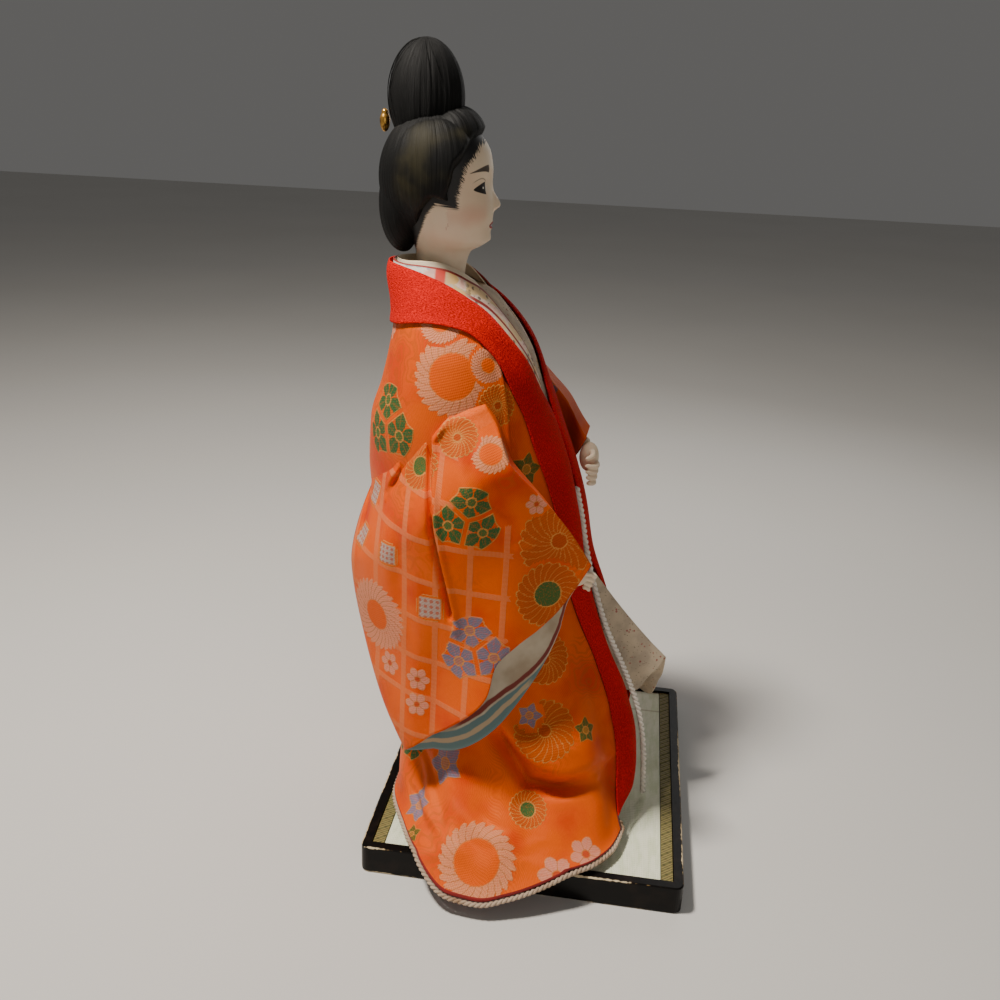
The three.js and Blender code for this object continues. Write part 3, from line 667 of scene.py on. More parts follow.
def wall(piece: Piece, thickness: float, inner: int = 0, rim: int = 0) -> None:
    """Gives a single-walled cloth its thickness, inwards from its face.

    Args:
        piece: the cloth.
        thickness: wall in millimetres.
        inner: how many material slots further the inner face's finish is.
        rim: how many material slots further the edge's finish is.
    """
    solid = piece.modifiers.new("thickness", "SOLIDIFY")
    solid.thickness = thickness * MM
    solid.offset = -1.0
    solid.use_even_offset = True
    solid.thickness_clamp = 1.0
    solid.material_offset = inner
    solid.material_offset_rim = rim


def dress(piece: Piece, slot: str, nodes: list[str], *finishes: Material) -> None:
    """Gives a piece its finishes and its place on the doll.

    Args:
        piece: the finished piece.
        slot: material slot of the record; not used.
        nodes: solids that it stands for.
        finishes: its materials in slot order.
    """
    piece.data.materials.clear()
    for finish in finishes:
        piece.data.materials.append(finish)
    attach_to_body(piece, BODY)
    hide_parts(*nodes)
    log.info("%s: %d faces", piece.name, len(piece.data.polygons))


@dataclass(frozen=True)
class Cut:
    """Sheet of cloth as it was cut, before it was sewn and put on.

    Attributes:
        flat: its width and length in metres.
        area: its flat area in square metres.
        held: how it is held.
        rests_on: piece that it lies on or hangs from.
    """

    flat: tuple[float, float]
    area: float
    held: str
    rests_on: str

    def declare(self, name: str) -> None:
        """Would say that the named piece is this sheet; it does nothing."""


CUTS: dict[str, Cut] = {
    "front_panel_cloth": Cut((0.05, 0.06), 0.0019, "draped", "kimono_cloth"),
    "under_collar_cloth": Cut((0.16, 0.01), 0.00065, "draped", "kimono_cloth"),
    "printed_collar_cloth": Cut((0.30, 0.014), 0.0026, "draped", "kimono_cloth"),
    "robe_cloth": Cut((0.42, 0.24), 0.049, "draped", "kimono_cloth"),
    "lapel_cloth": Cut((0.62, 0.022), 0.0113, "draped", "robe_cloth"),
    "right_sleeve_cloth": Cut((0.20, 0.13), 0.0216, "hung", "robe_cloth"),
    "left_sleeve_cloth": Cut((0.18, 0.13), 0.018, "hung", "robe_cloth"),
}


Socket = bpy.types.NodeSocket


def by_math(operation: str, swapped: bool = False, clamp: bool = False) -> Callable[..., "Signal"]:
    """Method of a signal that runs one math node.

    Args:
        operation: the node's operation.
        swapped: whether the signal comes after the other value.
        clamp: whether the result is kept between 0 and 1.

    Returns:
        The method.
    """
    def combine(signal: "Signal", *others: "Feed") -> "Signal":
        """Result of the node."""
        feeds = dict(enumerate((*others, signal) if swapped else (signal, *others)))
        return signal.tree.node("Math", feeds, operation=operation, use_clamp=clamp)[0]

    return combine


class Signal:
    """Value inside a material, combined with others by operators and methods."""

    __add__ = __radd__ = by_math("ADD")
    __mul__ = __rmul__ = by_math("MULTIPLY")
    __sub__, __rsub__ = by_math("SUBTRACT"), by_math("SUBTRACT", swapped=True)
    __truediv__, __pow__, __abs__ = by_math("DIVIDE"), by_math("POWER"), by_math("ABSOLUTE")
    least, most, ratio = by_math("MINIMUM"), by_math("MAXIMUM"), by_math("DIVIDE", clamp=True)
    sine, cosine, root = by_math("SINE"), by_math("COSINE"), by_math("SQRT")
    angle, folded, wrapped = by_math("ARCTAN2"), by_math("PINGPONG"), by_math("WRAP")
    above, below, fraction = by_math("GREATER_THAN"), by_math("LESS_THAN"), by_math("FRACT")

    def __init__(self, tree: "ShaderTree", socket: Socket) -> None:
        """Keeps an output socket with its tree."""
        self.tree = tree
        self.socket = socket

    def scaled(self, *factors: float) -> "Signal":
        """Vector with each part multiplied."""
        return self.tree.node("VectorMath", {0: self, 1: factors}, operation="MULTIPLY")[0]

    def moved(self, way: "Feed") -> "Signal":
        """Vector with another one added."""
        return self.tree.node("VectorMath", {0: self, 1: way}, operation="ADD")[0]

    def parts(self) -> tuple["Signal", ...]:
        """The three parts of a vector."""
        return self.tree.node("SeparateXYZ", {0: self})

    def noise(self, scale: float, detail: float = 2.0) -> "Signal":
        """Soft random value from 0 to 1, with scale in cells a unit."""
        feeds = {"Vector": self, "Scale": scale, "Detail": detail}
        return self.tree.node("TexNoise", feeds)[0]

    def cells(self, scale: float) -> "Signal":
        """Distance from the middle of irregular cells."""
        return self.tree.node("TexVoronoi", {"Vector": self, "Scale": scale})[0]

    def rise(self, low: "Feed", high: "Feed") -> "Signal":
        """Soft step from 0 at low to 1 at high."""
        feeds = {"Value": self, "From Min": low, "From Max": high}
        return self.tree.node("MapRange", feeds, interpolation_type="SMOOTHSTEP")[0]

    def fall(self, low: "Feed", high: "Feed") -> "Signal":
        """Soft step from 1 at low to 0 at high."""
        return 1.0 - self.rise(low, high)

    def near(self, middle: "Feed", half: float) -> "Signal":
        """1 at a value, falling softly to 0 at half a width from it."""
        return abs(self - middle).fall(0.6 * half, half)

    def ripple(self, length: float) -> "Signal":
        """Even ripple from 0 to 1 with a wavelength."""
        return (self * (2 * math.pi / length)).sine() * 0.5 + 0.5

    def toward(self, other: "Feed", share: "Feed") -> "Signal":
        """This value at share 0 and the other at share 1."""
        return self + (other - self) * share


Feed = Signal | float | tuple


class ShaderTree:
    """Builds one material's nodes, coat over coat of colour."""

    def __init__(self, name: str, base: Colour, roughness: float = 0.85) -> None:
        """Starts a material with one surface shader.

        Args:
            name: name of the material.
            base: its lowest coat.
            roughness: roughness where nothing is linked.
        """
        self.material = bpy.data.materials.new(name)
        self.material.use_nodes = True
        self.material.node_tree.nodes.clear()
        self.colour: Feed = base
        self.place = self.node("TexCoord", {})[3].scaled(*[1 / MM] * 3)
        surface = self.node("BsdfPrincipled", {"Roughness": roughness})[0]
        self.surface = surface.socket.node
        self.node("OutputMaterial", {"Surface": surface})

    def feed(self, socket: Socket, value: Feed) -> None:
        """Links a socket, or sets it to a number or colour.

        Args:
            socket: the input.
            value: what goes into it.
        """
        if isinstance(value, Signal):
            self.material.node_tree.links.new(value.socket, socket)
        else:
            socket.default_value = value

    def node(
        self, kind: str, feeds: dict[int | str, Feed], **settings: object
    ) -> tuple[Signal, ...]:
        """Adds a node.

        Args:
            kind: its type, without the usual first part.
            feeds: what goes into its inputs.
            settings: its other settings.

        Returns:
            Its outputs.
        """
        node = self.material.node_tree.nodes.new("ShaderNode" + kind)
        for name, setting in settings.items():
            setattr(node, name, setting)
        for name, value in feeds.items():
            self.feed(node.inputs[name], value)
        return tuple(Signal(self, socket) for socket in node.outputs)

    def joined(self, x: Feed, y: Feed, z: Feed = 0.0) -> Signal:
        """Vector of three parts."""
        return self.node("CombineXYZ", {0: x, 1: y, 2: z})[0]

    def uv(self, name: str) -> Signal:
        """One of the piece's own UV maps."""
        return self.node("UVMap", {}, uv_map=name)[0]

    def tint(self, name: str) -> tuple[Signal, Signal]:
        """Colour and alpha of one of the piece's own attributes."""
        colour, *_, alpha = self.node("Attribute", {}, attribute_name=name)
        return colour, alpha

    def blend(self, share: Feed, first: Feed, second: Feed, mode: str = "MIX") -> Signal:
        """Colour between two colours."""
        feeds = {0: share, 6: first, 7: second}
        return self.node("Mix", feeds, data_type="RGBA", blend_type=mode)[2]

    def coat(self, share: Feed, colour: Feed, mode: str = "MIX") -> None:
        """Lays a colour over the coats so far, to a share."""
        self.colour = self.blend(share, self.colour, colour, mode)

    def bump(self, height: Signal, depth: float, strength: float = 0.5) -> None:
        """Raises the surface's shading by a height from 0 to 1, depth in millimetres."""
        feeds = {"Strength": strength, "Distance": depth * MM, "Height": height}
        self.feed(self.surface.inputs["Normal"], self.node("Bump", feeds)[0])

    def weave(self, share: float, tone: Colour, scale: float = 2.4) -> None:
        """Covers the colour with fine threads of a tone, and raises them.

        Args:
            share: how much of the tone they carry.
            tone: the tone.
            scale: threads a millimetre.
        """
        threads = self.place.noise(scale)
        self.coat(threads * share, tone)
        self.bump(threads, 0.1)

    def finish(self, inputs: dict[str, Feed] | None = None) -> Material:
        """Feeds the surface and hands the material over.

        Args:
            inputs: further inputs of the surface by name.

        Returns:
            The material.
        """
        for name, value in {"Base Color": self.colour, **(inputs or {})}.items():
            self.feed(self.surface.inputs[name], value)
        return self.material


@dataclass(frozen=True)
class LacquerFinish:
    """Black lacquer with worn lines of gold and cream along its edges.

    Attributes:
        half: half sizes of the block in millimetres.
    """

    half: Triple
    black: Colour = paint(10, 8, 7)
    brown: Colour = paint(34, 24, 18)
    gold: Colour = paint(190, 150, 88)
    cream: Colour = paint(226, 206, 168)

    def material(self) -> Material:
        """The finished material."""
        tree = ShaderTree("black_lacquer", self.black, 0.3)
        place = tree.place
        x, y, z = place.parts()
        gaps = [half - abs(part) for half, part in zip(self.half, (x, y, z - self.half[2]))]
        edge = gaps[0].least(gaps[1]).most(gaps[0].most(gaps[1]).least(gaps[2]))
        patches = place.noise(0.06)
        reach = place.noise(0.55, 6.0) * 1.6 + patches * 2.4
        worn = (reach - edge * 1.3).rise(1.4, 1.75)
        tree.coat(place.noise(0.12, 4.0).rise(0.5, 0.75) * 0.55, self.brown)
        tree.coat(worn * 0.85, tree.blend(patches.rise(0.42, 0.58), self.gold, self.cream))
        tree.bump(place.noise(0.2, 3.0) * 0.8 + worn, 0.12)
        dull = place.noise(0.9, 5.0) * 0.3 + (worn * 0.3 + 0.2)
        return tree.finish({"Roughness": dull, "Specular IOR Level": 0.16})


@dataclass(frozen=True)
class MatFinish:
    """Pale woven mat of fine crosswise ribs, a little stained."""

    pale: Colour = paint(240, 243, 218)
    green: Colour = paint(222, 230, 196)
    stain: Colour = paint(170, 162, 122)

    def material(self) -> Material:
        """The finished material."""
        tree = ShaderTree("woven_mat", self.pale)
        place = tree.place
        x, y, _ = place.parts()
        ribs = x.ripple(1.15)
        weft = (y + ribs * 0.3).ripple(0.7)
        tree.coat(place.scaled(0.12, 0.5, 0.5).noise(1.0, 3.0).rise(0.35, 0.7), self.green)
        tree.coat(place.noise(0.035, 3.0).rise(0.52, 0.75) * 0.3, self.stain)
        tree.coat(x.near(52.0, 0.7) * 0.55, self.stain)
        tree.coat(ribs * weft * 0.22, self.stain)
        tree.bump(ribs + weft * 0.6, 0.22, 0.6)
        return tree.finish()


@dataclass(frozen=True)
class BorderFinish:
    """Olive and gold brocade ribbon with slanting leaves."""

    olive: Colour = paint(104, 100, 56)
    dark: Colour = paint(72, 68, 38)
    gold: Colour = paint(176, 156, 96)

    def material(self) -> Material:
        """The finished material."""
        tree = ShaderTree("border_brocade", self.olive, 0.7)
        x, y, _ = tree.place.parts()
        cell = (x + y * 0.8).folded(3.1)
        leaf = cell.near(1.7, 1.25)
        tree.coat((x - y).folded(4.4).near(2.2, 0.9), self.dark)
        tree.coat(leaf * 0.6, self.gold)
        tree.coat(cell.near(1.7, 0.3), self.dark)
        tree.coat(tree.place.noise(1.4, 4.0) * 0.5, self.olive)
        tree.bump(leaf * 1.2 + y.ripple(0.42) * 0.5, 0.2, 0.7)
        return tree.finish({"Roughness": 0.85 - leaf * 0.35})


@dataclass(frozen=True)
class CrepeFinish:
    """Red crepe with its pebbled face, deeper red painted in the hollows between the pebbles as
    shade.
    """

    red: Colour = paint(222, 20, 12)
    deep: Colour = paint(158, 6, 6)

    def material(self) -> Material:
        """The finished material."""
        tree = ShaderTree("red_crepe", self.deep, 0.8)
        cloth = tree.uv("cloth")
        swirl = cloth.noise(0.25) * 3.0
        bent = cloth.moved(tree.joined(swirl, swirl))
        pebbles = bent.scaled(1.3, 2.4, 1.0).noise(1.0, 3.0).rise(0.3, 0.7)
        height = pebbles + bent.scaled(2.2, 3.4, 1.0).cells(1.0) * -0.5
        # Painted shade: the deep red lies in the hollows and the bright red on the pebbles' tops,
        # following the bump's height.
        tree.coat(height.rise(-0.3, 0.7), self.red)
        tree.bump(height, 0.26, 0.8)
        return tree.finish({
            "Specular Tint": paint(255, 120, 100), "Specular IOR Level": 0.3,
            "Sheen Weight": 0.15, "Sheen Roughness": 0.4, "Sheen Tint": paint(230, 50, 40),
        })


@dataclass(frozen=True)
class SpeckledFinish:
    """Beige under-kimono cloth with fine pinkish and dark specks.

    Attributes:
        edge: colour of the line along the upper part of the pleat's ridge, if it has one.
    """

    name: str = "speckled_cloth"
    beige: Colour = paint(214, 194, 166)
    grey: Colour = paint(186, 168, 146)
    pink: Colour = paint(176, 104, 96)
    dark: Colour = paint(82, 62, 54)
    edge: Colour | None = None

    def material(self) -> Material:
        """The finished material."""
        tree = ShaderTree(self.name, self.beige)
        place = tree.place
        tree.coat(place.noise(0.12, 3.0).rise(0.35, 0.65), self.grey)
        gate = place.noise(0.22, 1.0).rise(0.48, 0.56)
        tree.coat(place.cells(0.42).fall(0.16, 0.26) * gate, self.pink)
        tree.coat(place.scaled(1.0, 1.0, 1.4).cells(0.62).fall(0.1, 0.2) * 0.7, self.dark)
        if self.edge:
            across, down, _ = tree.uv("share").parts()
            tree.coat(across.near(0.5, 0.035) * down.fall(0.3, 0.42), self.edge)
        tree.weave(0.18, self.dark, 2.6)
        return tree.finish()


@dataclass(frozen=True)
class PlainClothFinish:
    """Plain woven cloth with a soft mottled tone.

    Attributes:
        name: name of the material.
        main: main colour.
        second: colour of the mottling.
        share: how far the mottling goes, from 0 to 1.
    """

    name: str
    main: Colour
    second: Colour
    share: float = 0.6

    def material(self) -> Material:
        """The finished material."""
        tree = ShaderTree(self.name, self.main)
        x, y, z = tree.place.parts()
        tree.coat(tree.place.noise(0.09, 4.0).rise(0.35, 0.7) * self.share, self.second)
        threads = (x + y * 1.1).ripple(0.55) * z.ripple(0.5)
        tree.coat(threads * 0.16, self.second)
        tree.bump(threads + tree.place.noise(1.2, 3.0), 0.12)
        return tree.finish({"Sheen Weight": 0.1})


@dataclass(frozen=True)
class LiningFinish:
    """Sleeve lining: plain towards the shoulder, banded along the mouth's far edge."""

    plain: Colour = paint(206, 192, 168)
    shade: Colour = paint(172, 152, 126)
    teal: Colour = paint(92, 124, 126)
    band: Colour = paint(190, 164, 130)
    red: Colour = paint(120, 22, 18)

    def material(self) -> Material:
        """The finished material."""
        tree = ShaderTree("sleeve_lining", self.plain, 0.8)
        depth, across, _ = tree.uv("mouth").parts()
        tree.coat(tree.place.noise(0.08, 3.0).rise(0.35, 0.7), self.shade)
        low = across.rise(0.3, 0.62)
        wobble = depth + tree.place.noise(0.15) * 0.9
        inner = low * 5.6
        tree.coat(wobble.fall(inner, inner + 0.4) * low.rise(0.02, 0.1), self.teal)
        tree.coat(wobble.near(low * 3.3, 0.8) * low.rise(0.3, 0.5), self.band)
        middle = across.rise(0.06, 0.12) * across.fall(0.72, 0.8)
        tree.coat(wobble.near(inner + 1.5, 0.9) * middle, self.red)
        tree.weave(0.15, self.shade)
        return tree.finish({"Sheen Weight": 0.1})


@dataclass(frozen=True)
class CollarFinish:
    """Printed collar band: a red upper line, waves of pale blue, pink and gold."""

    white: Colour = paint(232, 226, 214)
    blue: Colour = paint(142, 178, 184)
    pink: Colour = paint(232, 168, 148)
    red: Colour = paint(206, 52, 38)
    gold: Colour = paint(216, 176, 112)
    grey: Colour = paint(150, 132, 108)
    line: Colour = paint(138, 20, 18)
    ink: Colour = paint(52, 44, 48)

    def material(self) -> Material:
        """The finished material."""
        tree = ShaderTree("printed_collar", self.white, 0.75)
        place = tree.place
        along, up, _ = tree.uv("share").parts()
        swirl = place.noise(0.16, 3.0)
        tree.coat((up * 9.0 + swirl * 9.0).ripple(3.6).rise(0.45, 0.8), self.blue)
        away = abs(along - 0.5)
        tree.coat(swirl.rise(0.42, 0.56) * away.rise(0.2, 0.27), self.gold)
        tree.coat(swirl.fall(0.4, 0.52) * away.rise(0.13, 0.2) * 0.8, self.pink)
        tree.coat(away.near(0.235, 0.018), self.red)
        low = away.rise(0.29, 0.33)
        tree.coat(low * 0.2, self.white)
        flowers = place.cells(0.4).fall(0.3, 0.42) * place.noise(0.2, 1.0).rise(0.46, 0.54)
        tree.coat(flowers * low * 0.8, self.ink)
        tree.coat(up.near(0.42, 0.05) * low, self.line)
        tree.coat(up.fall(0.05, 0.075), self.line)
        tree.weave(0.12, self.grey)
        return tree.finish()


@dataclass(frozen=True)
class CordFinish:
    """White twisted cotton with a little soiling in its grooves; a larger share of the same brown
    also paints shade over a cord.
    """

    name: str = "white_cord"
    soil_and_shade: float = 0.3
    white: Colour = paint(238, 224, 204)
    soiling_and_shade: Colour = paint(150, 120, 92)

    def material(self) -> Material:
        """The finished material."""
        tree = ShaderTree(self.name, self.white)
        around, along, _ = tree.uv("wrap").parts()
        fibres = tree.joined(around * 9.0, along * 60.0).noise(1.0, 3.0)
        tree.coat(tree.place.noise(0.11, 3.0).rise(0.45, 0.75) * 0.4 + self.soil_and_shade, self.soiling_and_shade)
        tree.coat(fibres * 0.35, self.soiling_and_shade)
        tree.bump(fibres, 0.12, 0.6)
        return tree.finish({"Sheen Weight": 0.2})


@dataclass(frozen=True)
class HairFinish:
    """Matt black combed silk hair, with a faint brown sheen painted on the side puff and grey
    highlights painted along raised strands.

    Attributes:
        name: name of the material.
        axis: depth of the upright axis that the strands run towards.
    """

    name: str
    axis: float
    black: Colour = paint(7, 7, 7)
    brown: Colour = paint(46, 42, 24)
    grey: Colour = paint(70, 67, 60)

    def material(self) -> Material:
        """The finished material."""
        tree = ShaderTree(self.name, self.black, 0.5)
        x, y, z = tree.place.parts()
        turn = x.angle(y - self.axis)
        ring = tree.joined(turn.sine() * 26.0, turn.cosine() * 26.0, z * 0.05)
        strands = ring.noise(1.0, 4.0)
        fine = ring.scaled(4.0, 4.0, 1.0).noise(1.0)
        # Painted sheen: brown over the side puff stands for its faint brownish sheen under the
        # light.
        puff = z.near(272.0, 18.0) * y.near(52.0, 16.0)
        tree.coat(tree.place.noise(0.07, 3.0).rise(0.42, 0.72) * puff * 0.8, self.brown)
        # Painted highlights: grey along the raised strands stands for light caught on single
        # strands.
        tree.coat(fine.rise(0.62, 0.8) * strands.rise(0.5, 0.7) * 0.55, self.grey)
        tree.bump(strands + fine * 0.5, 0.35, 0.8)
        return tree.finish({"Roughness": strands * 0.3 + 0.5, "Specular IOR Level": 0.22})


@dataclass(frozen=True)
class SkinFinish:
    """Matt ivory coating over the head and hands, with the face painted on it.

    Attributes:
        painted: whether the face's paint is drawn by the UV map "face".
    """

    painted: bool
    ivory: Colour = paint(232, 212, 184)
    warm: Colour = paint(214, 172, 138)
    blush: Colour = paint(206, 138, 112)
    dark: Colour = paint(24, 15, 11)
    brow: Colour = paint(34, 24, 18)
    lip: Colour = paint(150, 26, 20)
    hair: Colour = paint(12, 10, 9)

    def material(self) -> Material:
        """The finished material."""
        tree = ShaderTree("painted_face" if self.painted else "ivory_skin", self.ivory)
        tree.coat(tree.place.noise(0.07, 3.0).rise(0.4, 0.75) * 0.35, self.warm)
        if self.painted:
            self.face(tree)
        grain = tree.place.noise(1.6, 3.0)
        tree.bump(grain, 0.05)
        return tree.finish({
            "Roughness": grain * 0.2 + 0.42, "Subsurface Weight": 0.08,
            "Subsurface Radius": (0.004, 0.002, 0.001), "Subsurface Scale": 0.5,
        })

    def face(self, tree: ShaderTree) -> None:
        """Paints cheeks, brows, eyes, lids, lips and the hairline over the skin.

        Args:
            tree: the material's nodes.
        """
        across, up, _ = tree.uv("face").parts()
        side = abs(across)
        cheek = (((side - 12.0) * 0.2) ** 2.0 + ((up - 255.0) * 0.2) ** 2.0).root()
        tree.coat(cheek.fall(0.1, 1.2) * 0.4, self.blush)
        self.brows(tree, side, up)
        self.eye(tree, side, up)
        lid = up.near(268.0 - (side - 9.6) ** 2.0 * 0.17, 0.28) * side.near(9.8, 3.2)
        tree.coat(lid * 0.5, self.brow)
        self.lips(tree, side, up)
        edge, strand, _ = tree.uv("fringe").parts()
        hairs = tree.joined(strand * 4.2, edge * 0.5).noise(1.0)
        reach = up.rise(250.0, 262.0) * 1.5 + 0.5
        tree.coat((edge - hairs.rise(0.3, 0.74) * reach).fall(-0.6, 0.45), self.hair)

    def brows(self, tree: ShaderTree, side: Signal, up: Signal) -> None:
        """Paints arched brows that taper towards their outer ends.

        Args:
            tree: the material's nodes.
            side: distance from the face's middle.
            up: height.
        """
        share = (side - 6.8).ratio(6.8)
        line = share * -1.7 + 271.4 + share * (1.0 - share) * 2.48
        half = (1.0 - share) * 1.3 + 0.12
        body = (abs(up - line) - half).fall(-0.15, 0.1)
        tree.coat(body * (side.rise(6.5, 7.1) * side.fall(13.3, 13.7)) * 0.92, self.brow)

    def eye(self, tree: ShaderTree, side: Signal, up: Signal) -> None:
        """Paints dark narrow eyes, tall at the front and pointed at the back, each with a painted
        highlight for its glint.

        Args:
            tree: the material's nodes.
            side: distance from the face's middle.
            up: height.
        """
        share = (side - 7.5).ratio(5.0)
        top = (1.0 - share ** 1.25).root() * 3.2 + 263.7
        low = 264.1 - (1.0 - share).root() * 1.9
        body = up.fall(top - 0.2, top) * up.rise(low, low + 0.2)
        tree.coat(body * (side.rise(7.3, 7.6) * side.fall(12.4, 12.6)), self.dark)
        tree.coat(side.near(6.9, 1.0) * up.near(264.3, 1.1) * 0.5, paint(222, 208, 190))
        # Painted highlight: a small pale dot in each eye stands for a glint of reflected light.
        tree.coat(side.near(9.0, 0.42) * up.near(264.7, 0.42), paint(236, 228, 214))

    def lips(self, tree: ShaderTree, side: Signal, up: Signal) -> None:
        """Paints a small red mouth with a parting line.

        Args:
            tree: the material's nodes.
            side: distance from the face's middle.
            up: height.
        """
        full = (1.0 - side.ratio(4.4) ** 2.0).root() * 1.5
        top = full + 250.7
        low = 250.7 - full
        body = up.fall(top - 0.25, top) * up.rise(low, low + 0.25)
        tree.coat(body * side.fall(4.2, 4.5), self.lip)
        tree.coat(up.near(250.7, 0.22) * side.fall(4.0, 4.4) * 0.75, paint(60, 10, 10))


@dataclass(frozen=True)
class GiltFinish:
    """Gilt brass bead, dulled in places."""

    gold: Colour = paint(208, 158, 74)
    dull: Colour = paint(110, 76, 34)

    def material(self) -> Material:
        """The finished material."""
        tree = ShaderTree("gilt_bead", self.gold)
        spots = tree.place.noise(0.5, 4.0).rise(0.45, 0.65)
        tree.coat(spots, self.dull)
        tree.bump(tree.place.noise(1.1, 3.0), 0.1)
        return tree.finish({"Metallic": 0.85, "Roughness": spots * 0.3 + 0.28})


GROUND = paint(250, 102, 0)


@dataclass(frozen=True)
class MotifLook:
    """How one kind of motif is drawn inside a circle of radius 1.

    Attributes:
        fill: colour of the petals.
        heart: colour inside the petal ring.
        petals: petals of one flower.
        inner: radius that the petals start from.
        scallop: how deep the outline dips between round petals, or less than 0 for
            petals that end in a point.
        outline: strength of the thread outlines.
        three: 1 for three flowers that fill a circle, else 0.
    """

    fill: Colour
    heart: Colour
    petals: int
    inner: float
    scallop: float
    outline: float
    three: float = 0.0


class Kind(Enum):
    """Woven motifs of the robe: chrysanthemums, roundels and smaller flowers."""

    SALMON = MotifLook(paint(242, 162, 120), GROUND, 24, 0.56, 0.12, 0.35)
    PINK = MotifLook(paint(246, 166, 132), GROUND, 30, 0.4, 0.12, 0.35)
    OUTLINE = MotifLook(paint(214, 96, 24), paint(206, 84, 20), 22, 0.2, 0.08, 1.0)
    HEARTED = MotifLook(paint(214, 96, 26), paint(64, 116, 64), 22, 0.4, 0.08, 1.0)
    GREEN = MotifLook(paint(40, 112, 66), paint(74, 122, 66), 5, 0.2, -0.3, 0.8, 1.0)
    LAVENDER = MotifLook(paint(128, 130, 156), paint(176, 130, 120), 5, 0.2, -0.3, 0.7, 1.0)
    BELLFLOWER = MotifLook(paint(140, 138, 166), paint(196, 140, 110), 5, 0.26, -0.36, 0.9)
    OLIVE = MotifLook(paint(84, 108, 52), paint(176, 130, 60), 5, 0.26, -0.36, 0.7)
    SQUARE = MotifLook(GROUND, paint(198, 184, 176), 4, 0.78, 0.0, 0.75)
    BLOSSOM = MotifLook(paint(244, 166, 140), paint(214, 84, 50), 6, 0.24, 0.3, 0.5)


@dataclass(frozen=True)
class Motif:
    """One woven motif.

    Attributes:
        kind: what it is.
        first: heading on the robe, or depth Y on a sleeve.
        second: height.
        radius: its radius in millimetres.
        turn: turn in its plane, in degrees.
    """

    kind: Kind
    first: float
    second: float
    radius: float
    turn: float = 0.0


Filler = tuple[tuple[Kind, float], ...]


class MotifStamp:
    """Gives the faces of a brocade piece the motif that each one lies in.

    Attributes:
        THREAD: width of the outline threads in millimetres.
        GAP: least gap between scattered motifs.
        OUTSIDE: motif coordinate of a corner that lies in no motif.
        SPREAD: how far past its radius a motif takes faces, as a factor and a margin.
    """

    THREAD = 0.42
    GAP = 3.0
    OUTSIDE = 9.0
    SPREAD = (1.04, 0.6)

    def __init__(self, piece: Piece) -> None:
        """Measures the faces of a brocade piece, a single wall.

        Args:
            piece: the brocade piece.
        """
        self.mesh = piece.data
        self.middles, self.normals = face_frames(self.mesh)
        self.corners = vertex_points(self.mesh)[corner_vertices(self.mesh)] / MM
        self.owners = corner_faces(self.mesh)
        count = len(self.corners)
        self.local = np.full((count, 2), self.OUTSIDE)
        self.tints = {
            name: np.tile([*GROUND[:3], 0.5], (count, 1)) for name in ("fill", "heart", "disc")
        }
        self.tints["trim"] = np.zeros((count, 4))
        self.placed: list[tuple[Array, float]] = []

    def stamp(self, motif: Motif, centre: Array, normal: Array) -> None:
        """Draws one motif over what is there.

        Args:
            motif: the motif.
            centre: its middle on the cloth.
            normal: the cloth's outward direction there.
        """
        up = np.array([0.0, 0.0, 1.0]) - normal * normal[2]
        up /= max(np.linalg.norm(up), 1e-6)
        right = np.cross(up, normal)
        factor, margin = self.SPREAD
        away = np.linalg.norm(self.middles - centre, axis=1)
        inside = (away < motif.radius * factor + margin) & (self.normals @ normal > 0.15)
        chosen = inside[self.owners]
        offset = self.corners[chosen] - centre
        flat = np.stack([offset @ right, offset @ up], axis=1)
        length = np.linalg.norm(flat, axis=1, keepdims=True)
        flat *= np.linalg.norm(offset, axis=1, keepdims=True) / np.maximum(length, 1e-6)
        self.local[chosen] = np.stack(spun(*flat.T, motif.turn), axis=1) / motif.radius
        look = motif.kind.value
        rows = {
            "fill": (*look.fill[:3], look.petals / 32),
            "heart": (*look.heart[:3], look.inner),
            "disc": (*GROUND[:3], look.three),
            "trim": (look.scallop, self.THREAD / motif.radius, look.outline, 1.0),
        }
        for name, row in rows.items():
            self.tints[name][chosen] = row
        self.placed.append((centre, motif.radius))

    def stamp_nearest(self, motif: Motif, target: Array, side: Array | None = None) -> None:
        """Draws a motif at the face nearest a point.

        Args:
            motif: the motif.
            target: the point; a part that is nan isn't compared.
            side: direction that the face has to look in.
        """
        miss = np.nansum((self.middles - target) ** 2, axis=1)
        if side is not None:
            miss = np.where(self.normals @ side > 0.2, miss, np.inf)
        best = int(np.argmin(miss))
        self.stamp(motif, self.middles[best], self.normals[best])

    def scatter(self, kinds: Filler, count: int, seed: int, keep: Array) -> None:
        """Fills bare cloth with motifs that keep clear of each other.

        Args:
            kinds: kinds and radii, taken in turn.
            count: how many places are tried.
            seed: seed of the places.
            keep: which faces may carry a middle.
        """
        draw = np.random.default_rng(seed)
        faces = np.flatnonzero(keep)
        taken = 0
        for face in draw.choice(faces, size=min(count, len(faces)), replace=False):
            kind, radius = kinds[taken % len(kinds)]
            centre = self.middles[face]
            if all(np.linalg.norm(centre - other) > radius + size + self.GAP
                   for other, size in self.placed):
                turned = Motif(kind, 0, 0, radius, float(draw.uniform(-40, 40)))
                self.stamp(turned, centre, self.normals[face])
                taken += 1

    def write(self, lattice: Array | None = None) -> None:
        """Writes the attributes that the brocade finish reads.

        Args:
            lattice: lattice coordinates, one pair a corner, where there is one.
        """
        plain = np.full((len(self.corners), 2), 0.5)
        set_uv(self.mesh, "motif", self.local)
        set_uv(self.mesh, "lattice", plain if lattice is None else lattice)
        for name, tint in self.tints.items():
            set_tint(self.mesh, name, tint)


